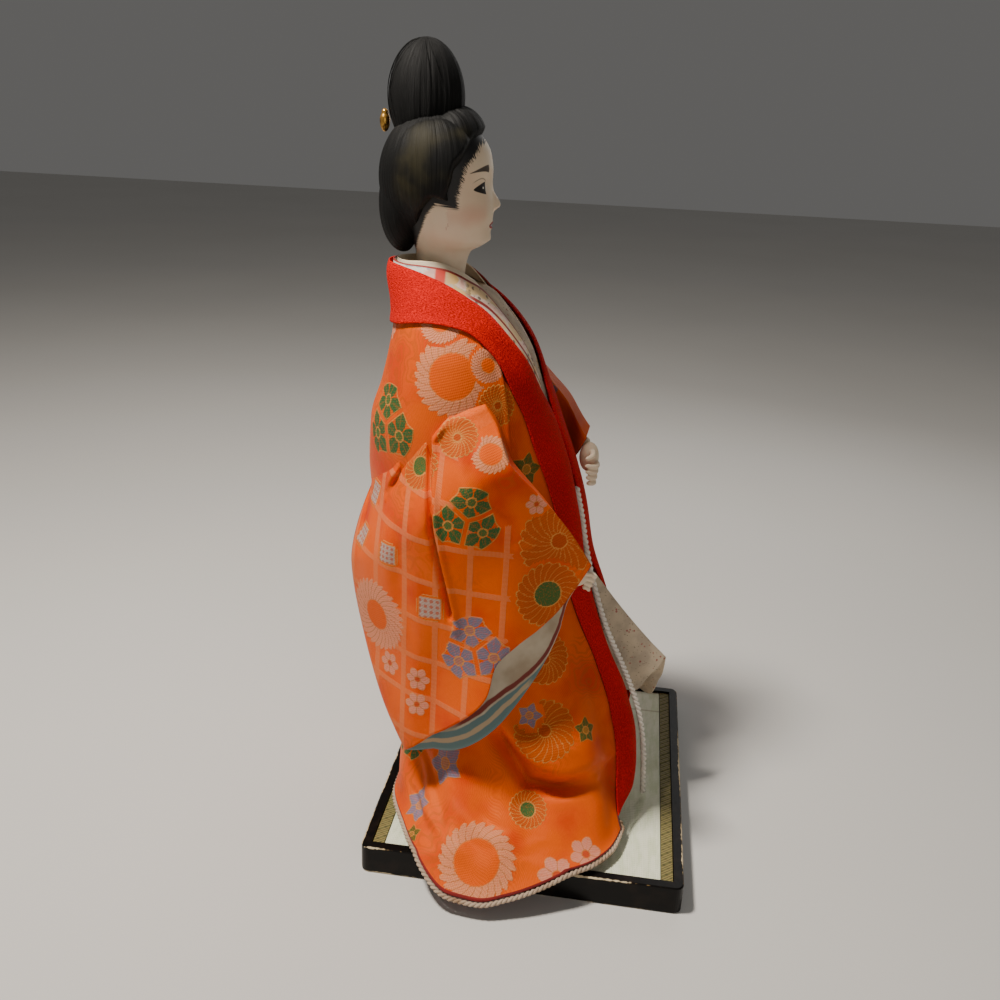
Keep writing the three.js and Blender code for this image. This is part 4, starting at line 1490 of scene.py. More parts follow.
@dataclass(frozen=True)
class BrocadeFinish:
    """Orange satin brocade with woven motifs and a salmon lattice."""

    deep: Colour = paint(226, 60, 0)
    shadow: Colour = paint(206, 92, 24)
    salmon: Colour = paint(240, 146, 96)
    gold: Colour = paint(232, 162, 84)
    brown: Colour = paint(150, 78, 40)
    rust: Colour = paint(196, 84, 50)
    gloom: Colour = (0.62, 0.5, 0.45, 1.0)

    def material(self) -> Material:
        """The finished material."""
        tree = ShaderTree("orange_brocade", GROUND, 0.5)
        place = tree.place
        cloth = tree.uv("cloth")
        tree.coat(place.noise(0.05, 3.0).rise(0.4, 0.75), self.deep)
        figures = place.noise(0.05).ripple(0.05).rise(0.5, 0.8)
        tree.coat(figures * place.noise(0.024, 1.0).rise(0.5, 0.6) * 0.5, self.shadow)
        grid = self.lattice(tree)
        tree.coat(grid * 0.62, self.salmon)
        bare = tree.colour
        relief = self.motif(tree)
        tree.coat(cloth.scaled(2.4, 1.1, 1.0).noise(1.0).rise(0.52, 0.64) * (relief * 0.3), bare)
        u, v, _ = cloth.parts()
        threads = (u + v * 0.6).ripple(0.62) + v.ripple(0.95) * relief
        fuzz = cloth.scaled(3.2, 0.7, 1.0).noise(1.0, 3.0)
        slubs = cloth.scaled(0.9, 7.0, 1.0).noise(1.0)
        tree.coat((threads * 0.12 + (fuzz + slubs) * 0.18) * 2.2, self.gloom, "MULTIPLY")
        raised = relief.most(grid * 0.6)
        tree.bump(raised * 0.8 + (threads * 0.25 + fuzz * 0.5), 0.2, 0.85)
        return tree.finish({
            "Roughness": raised * 0.18 + 0.44, "Specular IOR Level": 0.36,
            "Specular Tint": paint(255, 190, 130),
        })

    @staticmethod
    def lattice(tree: ShaderTree) -> Signal:
        """Mask of the lattice bands, each with a fine stitched pattern.

        Args:
            tree: the material's nodes.

        Returns:
            The mask.
        """
        across, up, _ = tree.uv("lattice").parts()
        bands = []
        for value, other, half in ((across, up, 0.1), (up, across, 0.078)):
            band = abs(value.fraction() - 0.5).rise(0.5 - half, 0.5 - half * 0.7)
            bands.append(band * (other.ripple(0.11) * 0.22 + 0.78))
        return bands[0].most(bands[1])

    def motif(self, tree: ShaderTree) -> Signal:
        """Draws the motif that a face lies in over the ground with its lattice.

        Args:
            tree: the material's nodes.

        Returns:
            The motif's relief.
        """
        base = tree.colour
        x, y, _ = tree.uv("motif").parts()
        (fill, count), (heart, inner), (disc, three), (trim, here) = (
            tree.tint(name) for name in ("fill", "heart", "disc", "trim"))
        scallop, thread, outline = trim.parts()
        whole = (x * x + y * y).root()
        third = y.angle(x).wrapped(math.pi / 3, -math.pi / 3)
        ragged = (tree.uv("cloth").noise(1.1, 1.0) - 0.5) * 0.09
        fx = x.toward((0.56 - whole * third.cosine()) * 1.5, three) + ragged
        fy = y.toward(whole * third.sine() * 1.5, three) + ragged
        petals = count * 32.0
        square = petals.below(4.5)
        radius = (fx * fx + fy * fy).root().toward(abs(fx).most(abs(fy)), square)
        curl = petals.above(15.5) * ((radius - inner) * 0.75)
        half_turn = (fy.angle(fx) + curl) * petals * 0.5
        phase, notch = abs(half_turn.cosine()), abs(half_turn.sine())
        reach = scallop.least(0.0) * notch + 0.97 - scallop.most(0.0) * (1.0 - phase)
        gap = radius * phase * 2.0 / petals
        wide = thread * (three + 1.0)
        sector = whole * (math.pi / 3 - abs(third)).sine()
        cut = ((0.97 - whole).least(sector - 0.045) - 1.0) * three + 1.0
        body = cut.rise(0.0, 0.02)
        flower = (radius - reach).fall(-0.01, 0.02) * body
        middle = (radius - inner).fall(-0.01, 0.02) * body
        ring = flower * (1.0 - middle)
        slit = wide * 0.3 + (radius - 0.42).most(0.0) * three * 0.3
        split = gap.fall(slit, slit * 1.7) * ring
        line = abs(radius - reach).least(abs(radius - inner)).fall(wide * 0.45, wide * 0.8)
        line = line * (radius - reach).fall(0.0, wide) * body
        hem = line.most(flower * cut.fall(wide * 0.4, wide * 0.8))
        checks = (fx.ripple(0.42) * fy.ripple(0.42)).rise(0.25, 0.45) * square * middle
        between = tree.blend(three, tree.blend(outline, self.brown, self.gold), base)
        tree.coat(ring, fill)
        tree.coat(middle, heart)
        tree.coat(notch.fall(0.0, 0.3) * (ring * 0.16), disc)
        tree.coat(split * (three * 0.25 + 0.75), between)
        tree.coat(hem * outline, self.gold)
        tree.coat(checks * 0.7, self.rust)
        tree.colour = tree.blend(here, base, tree.colour)
        return ring.most(middle) * here


@dataclass
class Stand:
    """Plinth, mat and border strips, whose solids stay and are only finished."""

    width: float = 146.8
    depth: float = 130.0
    height: float = 12.5

    def build(self, nodes: dict[str, Piece]) -> None:
        """Puts the finishes on the stand's solids.

        Args:
            nodes: the frame's solids by name.
        """
        half = (self.width / 2, self.depth / 2, self.height / 2)
        border = BorderFinish().material()
        finishes = {
            "stand_plinth": LacquerFinish(half).material(), "stand_mat": MatFinish().material(),
            "mat_border_front": border, "mat_border_back": border,
        }
        for name, finish in finishes.items():
            mesh = nodes[name].data
            mesh.materials.clear()
            mesh.materials.append(finish)
            log.info("%s: finished", name)


@dataclass
class UnderKimono:
    """Padded body in its under-kimono, with the pleat that flares at the front."""

    outside: float = -3.0
    fill: float = 1.0
    panel_size: tuple[int, int] = (70, 90)
    panel_back: Triple = (2.0, 0.0, 70.0)
    chest_lift: float = 1.75
    chest_fill: float = 1.0
    tuck: float = 8.0
    sides: int = 120
    neck_base: float = 227.5
    neck_section: float = 230.0
    foot: float = 11.3
    rings: int = 110
    panel_wall: float = 1.1
    panel_top: tuple[Triple, ...] = (
        (-3.9, -17, 109), (-2.2, -17.8, 110), (-0.8, -18.6, 110.4), (1, -17.4, 109.8),
        (3, -16.6, 109),
    )
    panel_hem: tuple[Triple, ...] = (
        (-8, -34, 56), (-1.5, -43, 57.5), (5, -52.4, 69), (14, -48, 46), (15.5, -37, 47),
    )

    def build(self) -> None:
        """Builds and dresses the body and the front panel."""
        cloth = SpeckledFinish().material()
        body = loft_piece("kimono_cloth", self.sides, self.rings, self.body_place)
        dress(body, "kimono", ["kimono_body"], cloth)
        back = np.array(self.panel_back)
        panel = grid_piece("front_panel_cloth", *self.panel_size, self.panel_place, back)
        wall(panel, self.panel_wall)
        maroon = SpeckledFinish("edged_speckled_cloth", edge=paint(112, 22, 20)).material()
        dress(panel, "kimono", ["kimono_front_panel"], maroon)

    def body_place(self, turn: Array, down: Array) -> Array:
        """Points of the body, flat at the neck and on the mat.

        Args:
            turn: share of the way round.
            down: share of the way down.

        Returns:
            One point a row.
        """
        top, foot = self.neck_section, self.foot
        height = mix(top, foot, down)
        tuck = self.tuck * smooth(110 - height, 0, 95)
        heading = 360 * turn
        overlap = 0.9 * smooth(heading, 352, 356) + 0.9 * (heading < 4)
        ripple = 0.35 * np.cos(np.radians(heading * 9)) * smooth(130 - height, 0, 60)
        turned = np.minimum(heading, 360 - heading)
        chest = smooth(50 - turned, 0, 20) * smooth(height, 170, 188)
        bare = smooth(np.interp(height, (196, 212, 226), (3.5, 9.0, 19.0)) - turned, 0, 3)
        lift = (self.chest_lift + self.chest_fill * bare) * chest * smooth(229 - height, 0, 4)
        gap = self.outside - tuck + overlap * 0.4 + ripple + lift
        points = FIGURE.on_body(heading, height, gap)
        points[:, 2] = np.where(height > self.neck_base, self.neck_base, points[:, 2])
        points[:, 2] = np.maximum(points[:, 2], foot)
        return points

    def panel_place(self, across: Array, down: Array) -> Array:
        """Points of the pleat whose ridge runs forward and down.

        Args:
            across: share of the way across.
            down: share of the way down.

        Returns:
            One point a row.
        """
        top, hem = SmoothLine(self.panel_top), SmoothLine(self.panel_hem)
        points = mix(top(across), hem(across), down[:, None])
        sag = np.sin(np.pi * across) ** 2 * np.sin(np.pi * down)
        points[:, 1] += 0.8 * sag + 0.25 * np.sin(14 * across + 5 * down) * down
        points[:, 2] += 1.1 * smooth(down, 0.8, 1.0) * np.sin(9 * np.pi * across + 0.6)
        points[:, 0] += 0.9 * smooth(down, 0.3, 1.0) * np.sin(5 * np.pi * across)
        return points


def mirrored(edge: Pairs) -> Pairs:
    """The same edge on the doll's other side, in reverse."""
    return tuple((360 - heading, height) for heading, height in reversed(edge))


def ribbon_place(
    first: Pairs, second: Pairs, surface: Place, distance: Callable[[Array, Array], Array]
) -> Place:
    """Ribbon between two edge lines on the figure.

    Args:
        first: heading and height along one edge.
        second: the same along the other edge.
        surface: surface method that the ribbon lies on.
        distance: gives the distance from shares along and across.

    Returns:
        The place function of a grid, along the ribbon first.
    """
    spacing = 30.0
    steps = np.arange(len(first)) * spacing

    def edge_at(edge: Pairs, along: Array) -> Array:
        """Heading and height of an edge at a share of the station numbers."""
        at, *values = SmoothLine(np.column_stack([steps, edge])).points.T
        return np.stack([np.interp(along * steps[-1], at, value) for value in values], axis=1)

    def place(along: Array, over: Array) -> Array:
        """Points of the ribbon."""
        heading, height = mix(edge_at(first, along), edge_at(second, along), over[:, None]).T
        return surface(heading, height, distance(along, over))

    return place


@dataclass
class Collars:
    """White collar against the neck and the printed collar round it."""

    wall: float = 0.7
    size: tuple[int, int] = (14, 260)
    under_outside: float = -2.0
    print_outside: float = -0.4
    under_top: Pairs = (
        (22, 231.8), (42, 235.2), (66, 238), (95, 238.4), (125, 237.6), (155, 237.2), (180, 237.2)
    )
    under_low: Pairs = (
        (10, 224), (30, 227.5), (58, 230.5), (92, 231.5), (125, 231.5), (155, 231.5), (180, 231.5)
    )
    print_top: Pairs = (
        (3, 196), (9, 212), (20, 226.3), (42, 232), (66, 235.4), (95, 236.4), (125, 236.4),
        (155, 236.6), (180, 236.8),
    )
    print_low: Pairs = (
        (9, 184), (27, 200), (42, 212), (62, 219), (84, 223.5), (104, 226), (128, 227.5),
        (155, 228), (180, 228),
    )

    def build(self) -> None:
        """Builds and dresses both collars."""
        cream = PlainClothFinish("cream_collar", paint(236, 222, 196), paint(206, 184, 150), 0.5)
        self.collar("under_collar_cloth", "under_collar", "white", self.under_top,
                    self.under_low, self.under_outside, cream.material())
        self.collar("printed_collar_cloth", "inner_collar", "printed", self.print_top,
                    self.print_low, self.print_outside, CollarFinish().material())

    def collar(
        self, name: str, node: str, slot: str, top: Pairs, low: Pairs, outside: float,
        finish: Material,
    ) -> None:
        """Builds one collar.

        Args:
            name: name of the piece.
            node: solid that it stands for.
            slot: its material slot.
            top: upper edge of the doll's right side.
            low: lower edge of the doll's right side.
            outside: distance of its outer face.
            finish: its material.
        """
        def lift(along: Array, over: Array) -> Array:
            """Soft roll towards both edges."""
            return outside + 0.25 * np.sin(np.pi * over)

        upper, lower = top + mirrored(top[:-1]), low + mirrored(low[:-1])
        place = ribbon_place(upper, lower, FIGURE.on_body, lift)
        piece = grid_piece(name, *self.size, place)
        wall(piece, self.wall)
        dress(piece, slot, [node], finish)


# Stations up the lapel: heading and height of its outer edge, and of its inner edge on the
# doll's right, then the inner edge's heading on the left.
LAPEL: tuple[tuple[float, ...], ...] = (
    (41, 12, 18.5, 12, -25), (39, 21, 18.5, 21, -26), (36, 32, 18, 32, -25),
    (34, 44, 18, 44, -24), (32, 63, 17, 63, -22), (31.5, 82, 20, 86, -14),
    (34, 106, 17, 108, -3), (34, 128, 13, 128, 5), (35, 148, 12, 147, 6),
    (37.5, 166, 9, 162, 6.5), (38.5, 182, 6.5, 177, 4.5), (43.5, 193, 14, 190, 0),
    (49.5, 203, 20.5, 201, -11.5), (57.5, 210.5, 29, 210, -20), (68, 216, 40, 220, -36),
    (84, 218.3, 55, 225.3, -53), (100, 219, 74, 229.8, -74), (118, 218.5, 98, 233.3, -98),
    (138, 217.3, 124, 235.3, -124), (160, 216.4, 152, 236.2, -152),
)
NAPE = ((180.0, 216.0), (180.0, 236.5))


@dataclass
class Robe:
    """Open robe of orange brocade with its dark red hem, and the red crepe lapel.

    Attributes:
        heights: heights of the robe's rows below its neckline.
        inside: distance of its inner face from the resting surface.
        outside: distance of its outer face.
        lapel_outside: distance of the lapel's outer face.
        clearance: turn from the lapel's edge to the robe's, in degrees.
        piping: share of the last row of faces that makes it piped.
        tries: places that the scattered motifs are tried at, drawn by the seed.
        lapel_low: how far the lapel's turned-down edge lies above the robe's inner face.
        lapel_waves: radians of the lapel's soft waves along its length.
    """

    heights: tuple[float, ...] = (
        214.5, 210.5, 203, 193, 182, 166, 148, 128, 106, 82, 63, 44, 32, 21, 12, 2
    )
    inside: float = 0.4
    outside: float = 1.8
    lapel_outside: float = 2.7
    lap_turn: float = 2.8
    lap_drop: float = 2.3
    lap_lift: float = 0.45
    rows: int = 170
    columns: int = 230
    neck_start: float = 101.0
    neck_height: float = 218.4
    neck_dip: float = 2.8
    clearance: float = 0.9
    piping: float = 0.6
    piping_slot: int = 2
    tries: int = 900
    seed: int = 7
    lapel_size: tuple[int, int] = (34, 900)
    lapel_wall: float = 1.2
    lapel_low: float = 0.9
    lapel_waves: float = 95.0
    motifs: tuple[Motif, ...] = (
        Motif(Kind.OUTLINE, 71.4, 59.6, 13),
        Motif(Kind.OUTLINE, 61.2, 87.5, 11),
        Motif(Kind.SALMON, 85.8, 200.9, 15.5),
        Motif(Kind.GREEN, 133, 178.2, 16, 20),
        Motif(Kind.PINK, 88, 217.5, 8),
        Motif(Kind.PINK, 60, 204, 7),
        Motif(Kind.OUTLINE, 57, 190, 8),
        Motif(Kind.OUTLINE, 52, 148, 7),
        Motif(Kind.OLIVE, 48.7, 164.5, 7),
        Motif(Kind.BELLFLOWER, 117.7, 41.3, 9.5, 10),
        Motif(Kind.HEARTED, 81.3, 31, 8),
        Motif(Kind.SALMON, 99.7, 11.7, 16),
        Motif(Kind.BELLFLOWER, 132.4, 18, 8.2, 30),
        Motif(Kind.BLOSSOM, 72.6, 2.8, 8),
        Motif(Kind.BLOSSOM, 64.6, 7.5, 7),
        Motif(Kind.OLIVE, 131.1, 4.8, 4.6),
        Motif(Kind.OLIVE, 52.6, 57.9, 5.8),
        Motif(Kind.BELLFLOWER, 75.1, 65.6, 5.7),
    )
    filler: Filler = (
        (Kind.SALMON, 13.0), (Kind.GREEN, 13.0),
        (Kind.SQUARE, 5.0), (Kind.LAVENDER, 12.0),
        (Kind.BLOSSOM, 6.0), (Kind.PINK, 12.0),
        (Kind.BELLFLOWER, 7.0), (Kind.SQUARE, 5.0),
    )
    creases: tuple[Crease, ...] = (
        Crease(((76, 64), (68.5, 52), (62.5, 41), (52, 37.5), (40, 38.5)), 9.0, 2.9, 2.4, -1),
        Crease(((104, 44), (97, 34), (93, 22)), 1.1, 2.0, 0.8, 1),
        Crease(((112, 24), (103, 18), (95, 13)), 1.0, 1.9, 0.8, -1),
        Crease(((84, 32), (74, 24), (66, 21)), 1.2, 2.2, 0.8, 1),
        Crease(((88, 21), (78, 15), (70, 13)), 0.9, 2.0, 0.7, 1),
        Crease(((103, 75), (97, 52), (92, 30), (90, 12)), 0.9, 2.6, 0.5, 1),
        Crease(((46.4, 211), (39.2, 207.7), (38.1, 198), (38.4, 188), (42.7, 166), (45, 152)),
               1.5, 0.9, 0.9, 1),
        Crease(((120, 70), (118, 40), (116, 14)), 0.7, 2.4, 0.5, -1),
    )

    def front_edge(self, height: Array) -> Array:
        """Heading of the robe's front edge at a height.

        Args:
            height: heights.

        Returns:
            One heading a height.
        """
        rising = [LAPEL[0]]
        for station in LAPEL[1:]:
            if station[1] > rising[-1][1]:
                rising.append(station)
        heading, at, *_ = zip(*rising)
        return Stations(at, heading)(height) + self.clearance

    def place(self, across: Array, down: Array) -> Array:
        """Points of the robe from its neckline to its hem.

        Args:
            across: share of the way across.
            down: share of the way down.

        Returns:
            One point a row.
        """
        row = down * len(self.heights)
        height = np.interp(np.maximum(row, 1), np.arange(1, len(self.heights) + 1), self.heights)
        edge = self.front_edge(height)
        heading = mix(edge, 360 - edge, across)
        neck_heading = mix(self.neck_start, 360 - self.neck_start, across)
        neck_height = self.neck_height - self.neck_dip * np.sin(np.pi * across)
        start = np.minimum(row, 1)
        heading = mix(neck_heading, heading, start)
        height = mix(neck_height, height, start)
        return FIGURE.on_robe(heading, height, self.outside + self.wrinkles(heading, height))

    def wrinkles(self, heading: Array, height: Array) -> Array:
        """Pressed folds and fine drapery, over the solid's own folds.

        Args:
            heading: headings in degrees.
            height: heights.

        Returns:
            One height a place.
        """
        flat = heading * 0.78
        low = smooth(height, 3, 14)
        relief = sum(crease.relief(flat, height) for crease in self.creases)
        fine = 0.35 * np.sin(heading * 0.35 + height * 0.05) * smooth(150 - height, 0, 60)
        back = 0.5 * np.cos(heading * 0.33) * smooth(heading, 140, 175)
        back = back * smooth(140 - height, 0, 90)
        return (relief * smooth(150 - heading, 0, 20) + fine + back) * low

    def build(self) -> None:
        """Builds and dresses the robe and its lapel."""
        robe = grid_piece("robe_cloth", self.rows, self.columns, self.place)
        stamp = MotifStamp(robe)
        for motif in self.motifs:
            stamp.stamp_nearest(motif, on_robe(motif.first, motif.second, self.outside))
        x, y, z = stamp.middles.T
        hidden = ((x > -25) & (z > 14)) | ((y > 55) & (z < 150))
        stamp.scatter(self.filler, self.tries, self.seed, hidden)
        stamp.write()
        brocade = BrocadeFinish().material()
        lining = PlainClothFinish("robe_lining", paint(196, 60, 30), paint(130, 34, 20)).material()
        piping = PlainClothFinish("red_piping", paint(142, 22, 18), paint(104, 16, 14)).material()
        wall(robe, self.outside - self.inside, inner=1, rim=2)
        dress(robe, "brocade", ["robe_body"], brocade, lining, piping)
        self.mark_hem(robe)
        self.build_lapel()

    def mark_hem(self, robe: Piece) -> None:
        """Gives the last row of faces the piping's finish.

        Args:
            robe: the robe's cloth.
        """
        across, down = shares(robe.data).T
        owners = corner_faces(robe.data)
        lowest, outmost = np.zeros((2, len(robe.data.polygons)))
        np.maximum.at(lowest, owners, down)
        np.maximum.at(outmost, owners, np.abs(across - 0.5))
        piped = (lowest > 1 - self.piping / self.rows) | (outmost > 0.5 - 0.5 / self.columns)
        slots = np.where(piped, self.piping_slot, 0).astype(np.int32)
        robe.data.polygons.foreach_set("material_index", slots)

    def lap(self, heading: float, height: float) -> tuple[float, float]:
        """Outer edge of the lapel, moved out over the robe's edge."""
        neck = float(smooth(np.array(height), 198, 212))
        return heading + self.lap_turn * (1 - neck), height - self.lap_drop * neck

    def build_lapel(self) -> None:
        """Builds and dresses the crepe band round both fronts and the neck."""
        near_outer = tuple(self.lap(heading, height) for heading, height, *_ in LAPEL)
        near_inner = tuple((heading, height) for _, _, heading, height, _ in LAPEL)
        far_inner = tuple((360 + far, height) for _, _, _, height, far in reversed(LAPEL))
        outer = near_outer + (self.lap(*NAPE[0]),) + mirrored(near_outer)
        inner = near_inner + (NAPE[1],) + far_inner
        low = self.inside + self.lapel_low

        def lift(along: Array, over: Array) -> Array:
            """Band that laps over the robe and rolls down at its inner edge.

            Args:
                along: share of the way along the band.
                over: share of the way from the outer to the inner edge.

            Returns:
                One distance a place.
            """
            roll = 1 - np.maximum(2 * over - 1, 0) ** 5
            soft = 0.25 * np.sin(along * self.lapel_waves) * np.sin(np.pi * over) ** 2
            lap = self.lap_lift * (1 - smooth(over, 0, 0.22))
            return low + (self.lapel_outside - low) * roll + soft + lap

        place = ribbon_place(outer, inner, FIGURE.on_robe, lift)
        lapel = grid_piece("lapel_cloth", *self.lapel_size, place)
        wall(lapel, self.lapel_wall)
        dress(lapel, "crepe", ["robe_lapel"], CrepeFinish().material())


@dataclass(frozen=True)
class SleeveShape:
    """Side view of one sleeve as depth Y and height Z, and its stand-off from the doll.

    Attributes:
        side: -1 for the doll's right and 1 for its left.
        top: upper edge from the shoulder to the mouth.
        back: rear edge down to the lower corner.
        near_mouth: mouth's edge of the outer layer.
        far_mouth: mouth's edge of the layer against the doll.
        seam: line where the sleeve joins the shoulder.
        plane_at: depths of the stand-off's stations.
        plane_x: half width at each of them.
        open_width: how far the mouth stands open.
    """

    side: int
    top: Pairs
    back: Pairs
    near_mouth: Pairs
    far_mouth: Pairs
    seam: Pairs
    plane_at: tuple[float, ...]
    plane_x: tuple[float, ...]
    open_width: float = 8.0


RIGHT_SLEEVE = SleeveShape(
    side=-1,
    top=((27, 193), (20, 184), (14.5, 174), (8.5, 167), (0, 157.5), (-9.5, 145.5), (-18, 132.5)),
    back=((71, 159), (75, 149), (78.5, 134), (79, 116), (74, 92), (66, 72), (51, 48)),
    near_mouth=((-18, 132.5), (-12, 121.5), (-4, 110), (7, 102), (14.5, 94), (18, 80), (31, 66),
                (51, 48)),
    far_mouth=((-17, 126), (-10, 114), (-7, 101), (-2, 88.5), (6.5, 74.5), (16, 63), (30, 53),
               (51, 47)),
    seam=((27, 193), (35, 189.5), (42, 185), (48, 177), (55, 168.5), (62, 162.5), (71, 159)),
    plane_at=(-26, -10, 2, 15, 30, 45, 58, 68, 82),
    plane_x=(31, 34.5, 38, 43, 46, 46, 42, 36, 27),
)
LEFT_SLEEVE = SleeveShape(
    side=1,
    top=((27, 195), (20, 192), (13, 188.5), (6, 183), (0, 178.5), (-6, 173), (-11, 168)),
    back=((70, 162), (72, 150), (73, 134), (72, 114), (68, 92), (61, 72), (50, 50)),
    near_mouth=((-11, 168), (-8, 160), (-2, 151), (4, 140), (9, 122), (15, 104), (24, 84),
                (36, 66), (50, 50)),
    far_mouth=((-10, 165), (-6, 156), (0, 147), (5, 135), (9, 118), (15, 99), (24, 79), (36, 61),
               (50, 48)),
    seam=((27, 195), (35, 191), (42, 186), (49, 178), (56, 170), (63, 164.5), (70, 162)),
    plane_at=(-16, -8, 0, 15, 30, 45, 58, 68, 82),
    plane_x=(9, 15, 28, 38, 45, 45, 41, 35, 26),
)


@dataclass
class Sleeve:
    """Hanging sleeve: a flat bag, open along its mouth.

    Attributes:
        name: name of the piece.
        node: solid that it stands for.
        shape: its outlines.
        motifs: motifs on its outer layer, by depth and height.
        creases: pressed folds of its outer layer.
        filler: motifs that are scattered over the rest.
        seam_sink: how deep the shoulder seam lies in the robe, beyond the tuck.
        layer_gap: least gap between the inner faces of the bag's two layers.
        back_depth: how far the inner layer's rear edge lies in front of the outer one's.
        length: from the mouth to the shoulder, as the lining's finish counts it.
        tries: places that the scattered motifs are tried at, drawn by the seed.
    """

    name: str
    node: str
    shape: SleeveShape
    motifs: tuple[Motif, ...] = ()
    creases: tuple[Crease, ...] = ()
    filler: Filler = ()
    rows: int = 120
    half_columns: int = 90
    fold_columns: int = 8
    seam_sink: float = 2.6
    tuck: float = 0.6
    layer_gap: float = 0.3
    back_depth: float = 3.4
    clearance: float = 6.0
    swing: float = 8.0
    thickness: float = 1.0
    length: float = 95.0
    lattice_start: tuple[float, float] = (26.4, 73.8)
    lattice_cell: tuple[float, float] = (13.0, 16.9)
    lattice_slope: float = 0.12
    lattice_middle: float = 42.0
    tries: int = 500
    seed: int = 11

    def side_view(self, mouth: Pairs, across: Array, down: Array) -> Array:
        """Depth and height of a layer's points.

        Args:
            mouth: mouth's edge of the layer.
            across: share from the top edge to the rear edge.
            down: share from the shoulder to the mouth.

        Returns:
            Pairs of Y and Z.
        """
        top, back = SmoothLine(self.shape.top), SmoothLine(self.shape.back)
        w = across[:, None]
        point = mix(top(down), back(down), w)
        for ends, at, share in ((mouth, 1, down), (self.shape.seam, 0, 1 - down)):
            end = np.full_like(down, at)
            miss = SmoothLine(ends)(across) - mix(top(end), back(end), w)
            point += miss * share[:, None] ** 1.5
        return point

    def layers(self, turn: Array) -> tuple[Array, Array]:
        """Splits the way round the bag into its two layers and the folds between them.

        Args:
            turn: share of the way round, from the top edge over the outer layer.

        Returns:
            The share from the top edge to the rear edge, and how far the place belongs
            to the outer layer, from 0 to 1.
        """
        total = 2 * self.half_columns + 2 * self.fold_columns
        layer, fold = self.half_columns / total, self.fold_columns / total
        at = (0.0, layer, layer + fold, 2 * layer + fold, 1.0)
        return np.interp(turn, at, (0, 1, 1, 0, 0)), np.interp(turn, at, (1, 1, 0, 0, 1))

    def place(self, turn: Array, down: Array) -> Array:
        """Points of the bag: its outer layer first, then back along the inner one.

        Args:
            turn: share of the way round the bag.
            down: share from the shoulder to the mouth.

        Returns:
            One point a row.
        """
        across, near = self.layers(turn)
        outer = self.side_view(self.shape.near_mouth, across, down)
        inner = self.side_view(self.shape.far_mouth, across, down)
        flat = mix(inner, outer, near[:, None])
        back = smooth(across, 0.5, 0.95) * (1 - smooth(down, 0.35, 0.65))
        y, z = flat[:, 0], flat[:, 1]
        swing = self.swing * smooth(95 - z, 0, 55)
        reach = FIGURE.reach(y, z)
        plane = Stations(self.shape.plane_at, self.shape.plane_x)
        hang = np.maximum(plane(y), reach + self.clearance) + swing
        attach = smooth(down, 0, 0.35)
        opening = np.maximum(np.sin(np.pi * mix(0.28, 1, across)), 0) ** 0.7
        puff = self.shape.open_width * mix(0.2, 1, attach) * opening
        puff = puff + 2 * self.thickness + self.layer_gap
        relief = sum(crease.relief(y, z) for crease in self.creases)
        drape = 0.5 * np.sin(0.21 * y + 0.05 * z) + 0.35 * np.sin(0.12 * z - 0.1 * y + 1)
        calm = smooth(across, 0, 0.12) * smooth(1 - across, 0, 0.12)
        puff = puff + (relief + drape) * calm
        sunk = self.seam_sink * (1 - smooth(down, 0, 0.05))
        out = mix(reach - self.tuck, hang, attach) - sunk + mix(0.2 * drape * calm, puff, near)
        inward = self.back_depth * (1 - near) * back
        return np.stack([self.shape.side * out, y - inward, z], axis=1)

    def build(self, brocade: Material, lining: Material, piping: Material) -> None:
        """Builds and dresses the sleeve.

        Args:
            brocade: finish of its outer face.
            lining: finish of its inner face.
            piping: finish of its edge.
        """
        columns = 2 * (self.half_columns + self.fold_columns)
        piece = grid_piece(self.name, self.rows, columns, self.place)
        turn, down = shares(piece.data).T
        mouth = np.stack([(1 - down) * self.length, self.layers(turn)[0]], axis=1)
        stamp = MotifStamp(piece)
        outward = np.array([float(self.shape.side), 0.0, 0.0])
        for motif in self.motifs:
            stamp.stamp_nearest(motif, np.array([np.nan, motif.first, motif.second]), outward)
        if self.filler:
            facing = stamp.normals @ outward
            keep = (np.abs(facing) > 0.3) if not self.motifs else (facing < -0.3)
            stamp.scatter(self.filler, self.tries, self.seed, keep)
        _, y, z = stamp.corners.T
        level = z - self.lattice_slope * (y - self.lattice_middle)
        flat = np.stack([y, level], axis=1)
        lattice = (flat - self.lattice_start) / self.lattice_cell
        _, y, z = stamp.middles.T
        covered = ((z < 150) | (y > 33)) & ~((y < 11) & (z > 96))
        lattice[~covered[stamp.owners]] = 0.5
        stamp.write(lattice)
        set_uv(piece.data, "mouth", mouth)
        self.close_tube(piece)
        wall(piece, self.thickness, inner=1, rim=2)
        dress(piece, "brocade", [self.node], brocade, lining, piping)

    @staticmethod
    def close_tube(piece: Piece) -> None:
        """Joins the bag's two long edges.

        Args:
            piece: the sleeve's cloth.
        """
        shape = bmesh.new()
        shape.from_mesh(piece.data)
        bmesh.ops.remove_doubles(shape, verts=shape.verts, dist=1e-6)
        shape.to_mesh(piece.data)
        shape.free()
        piece.data.shade_smooth()


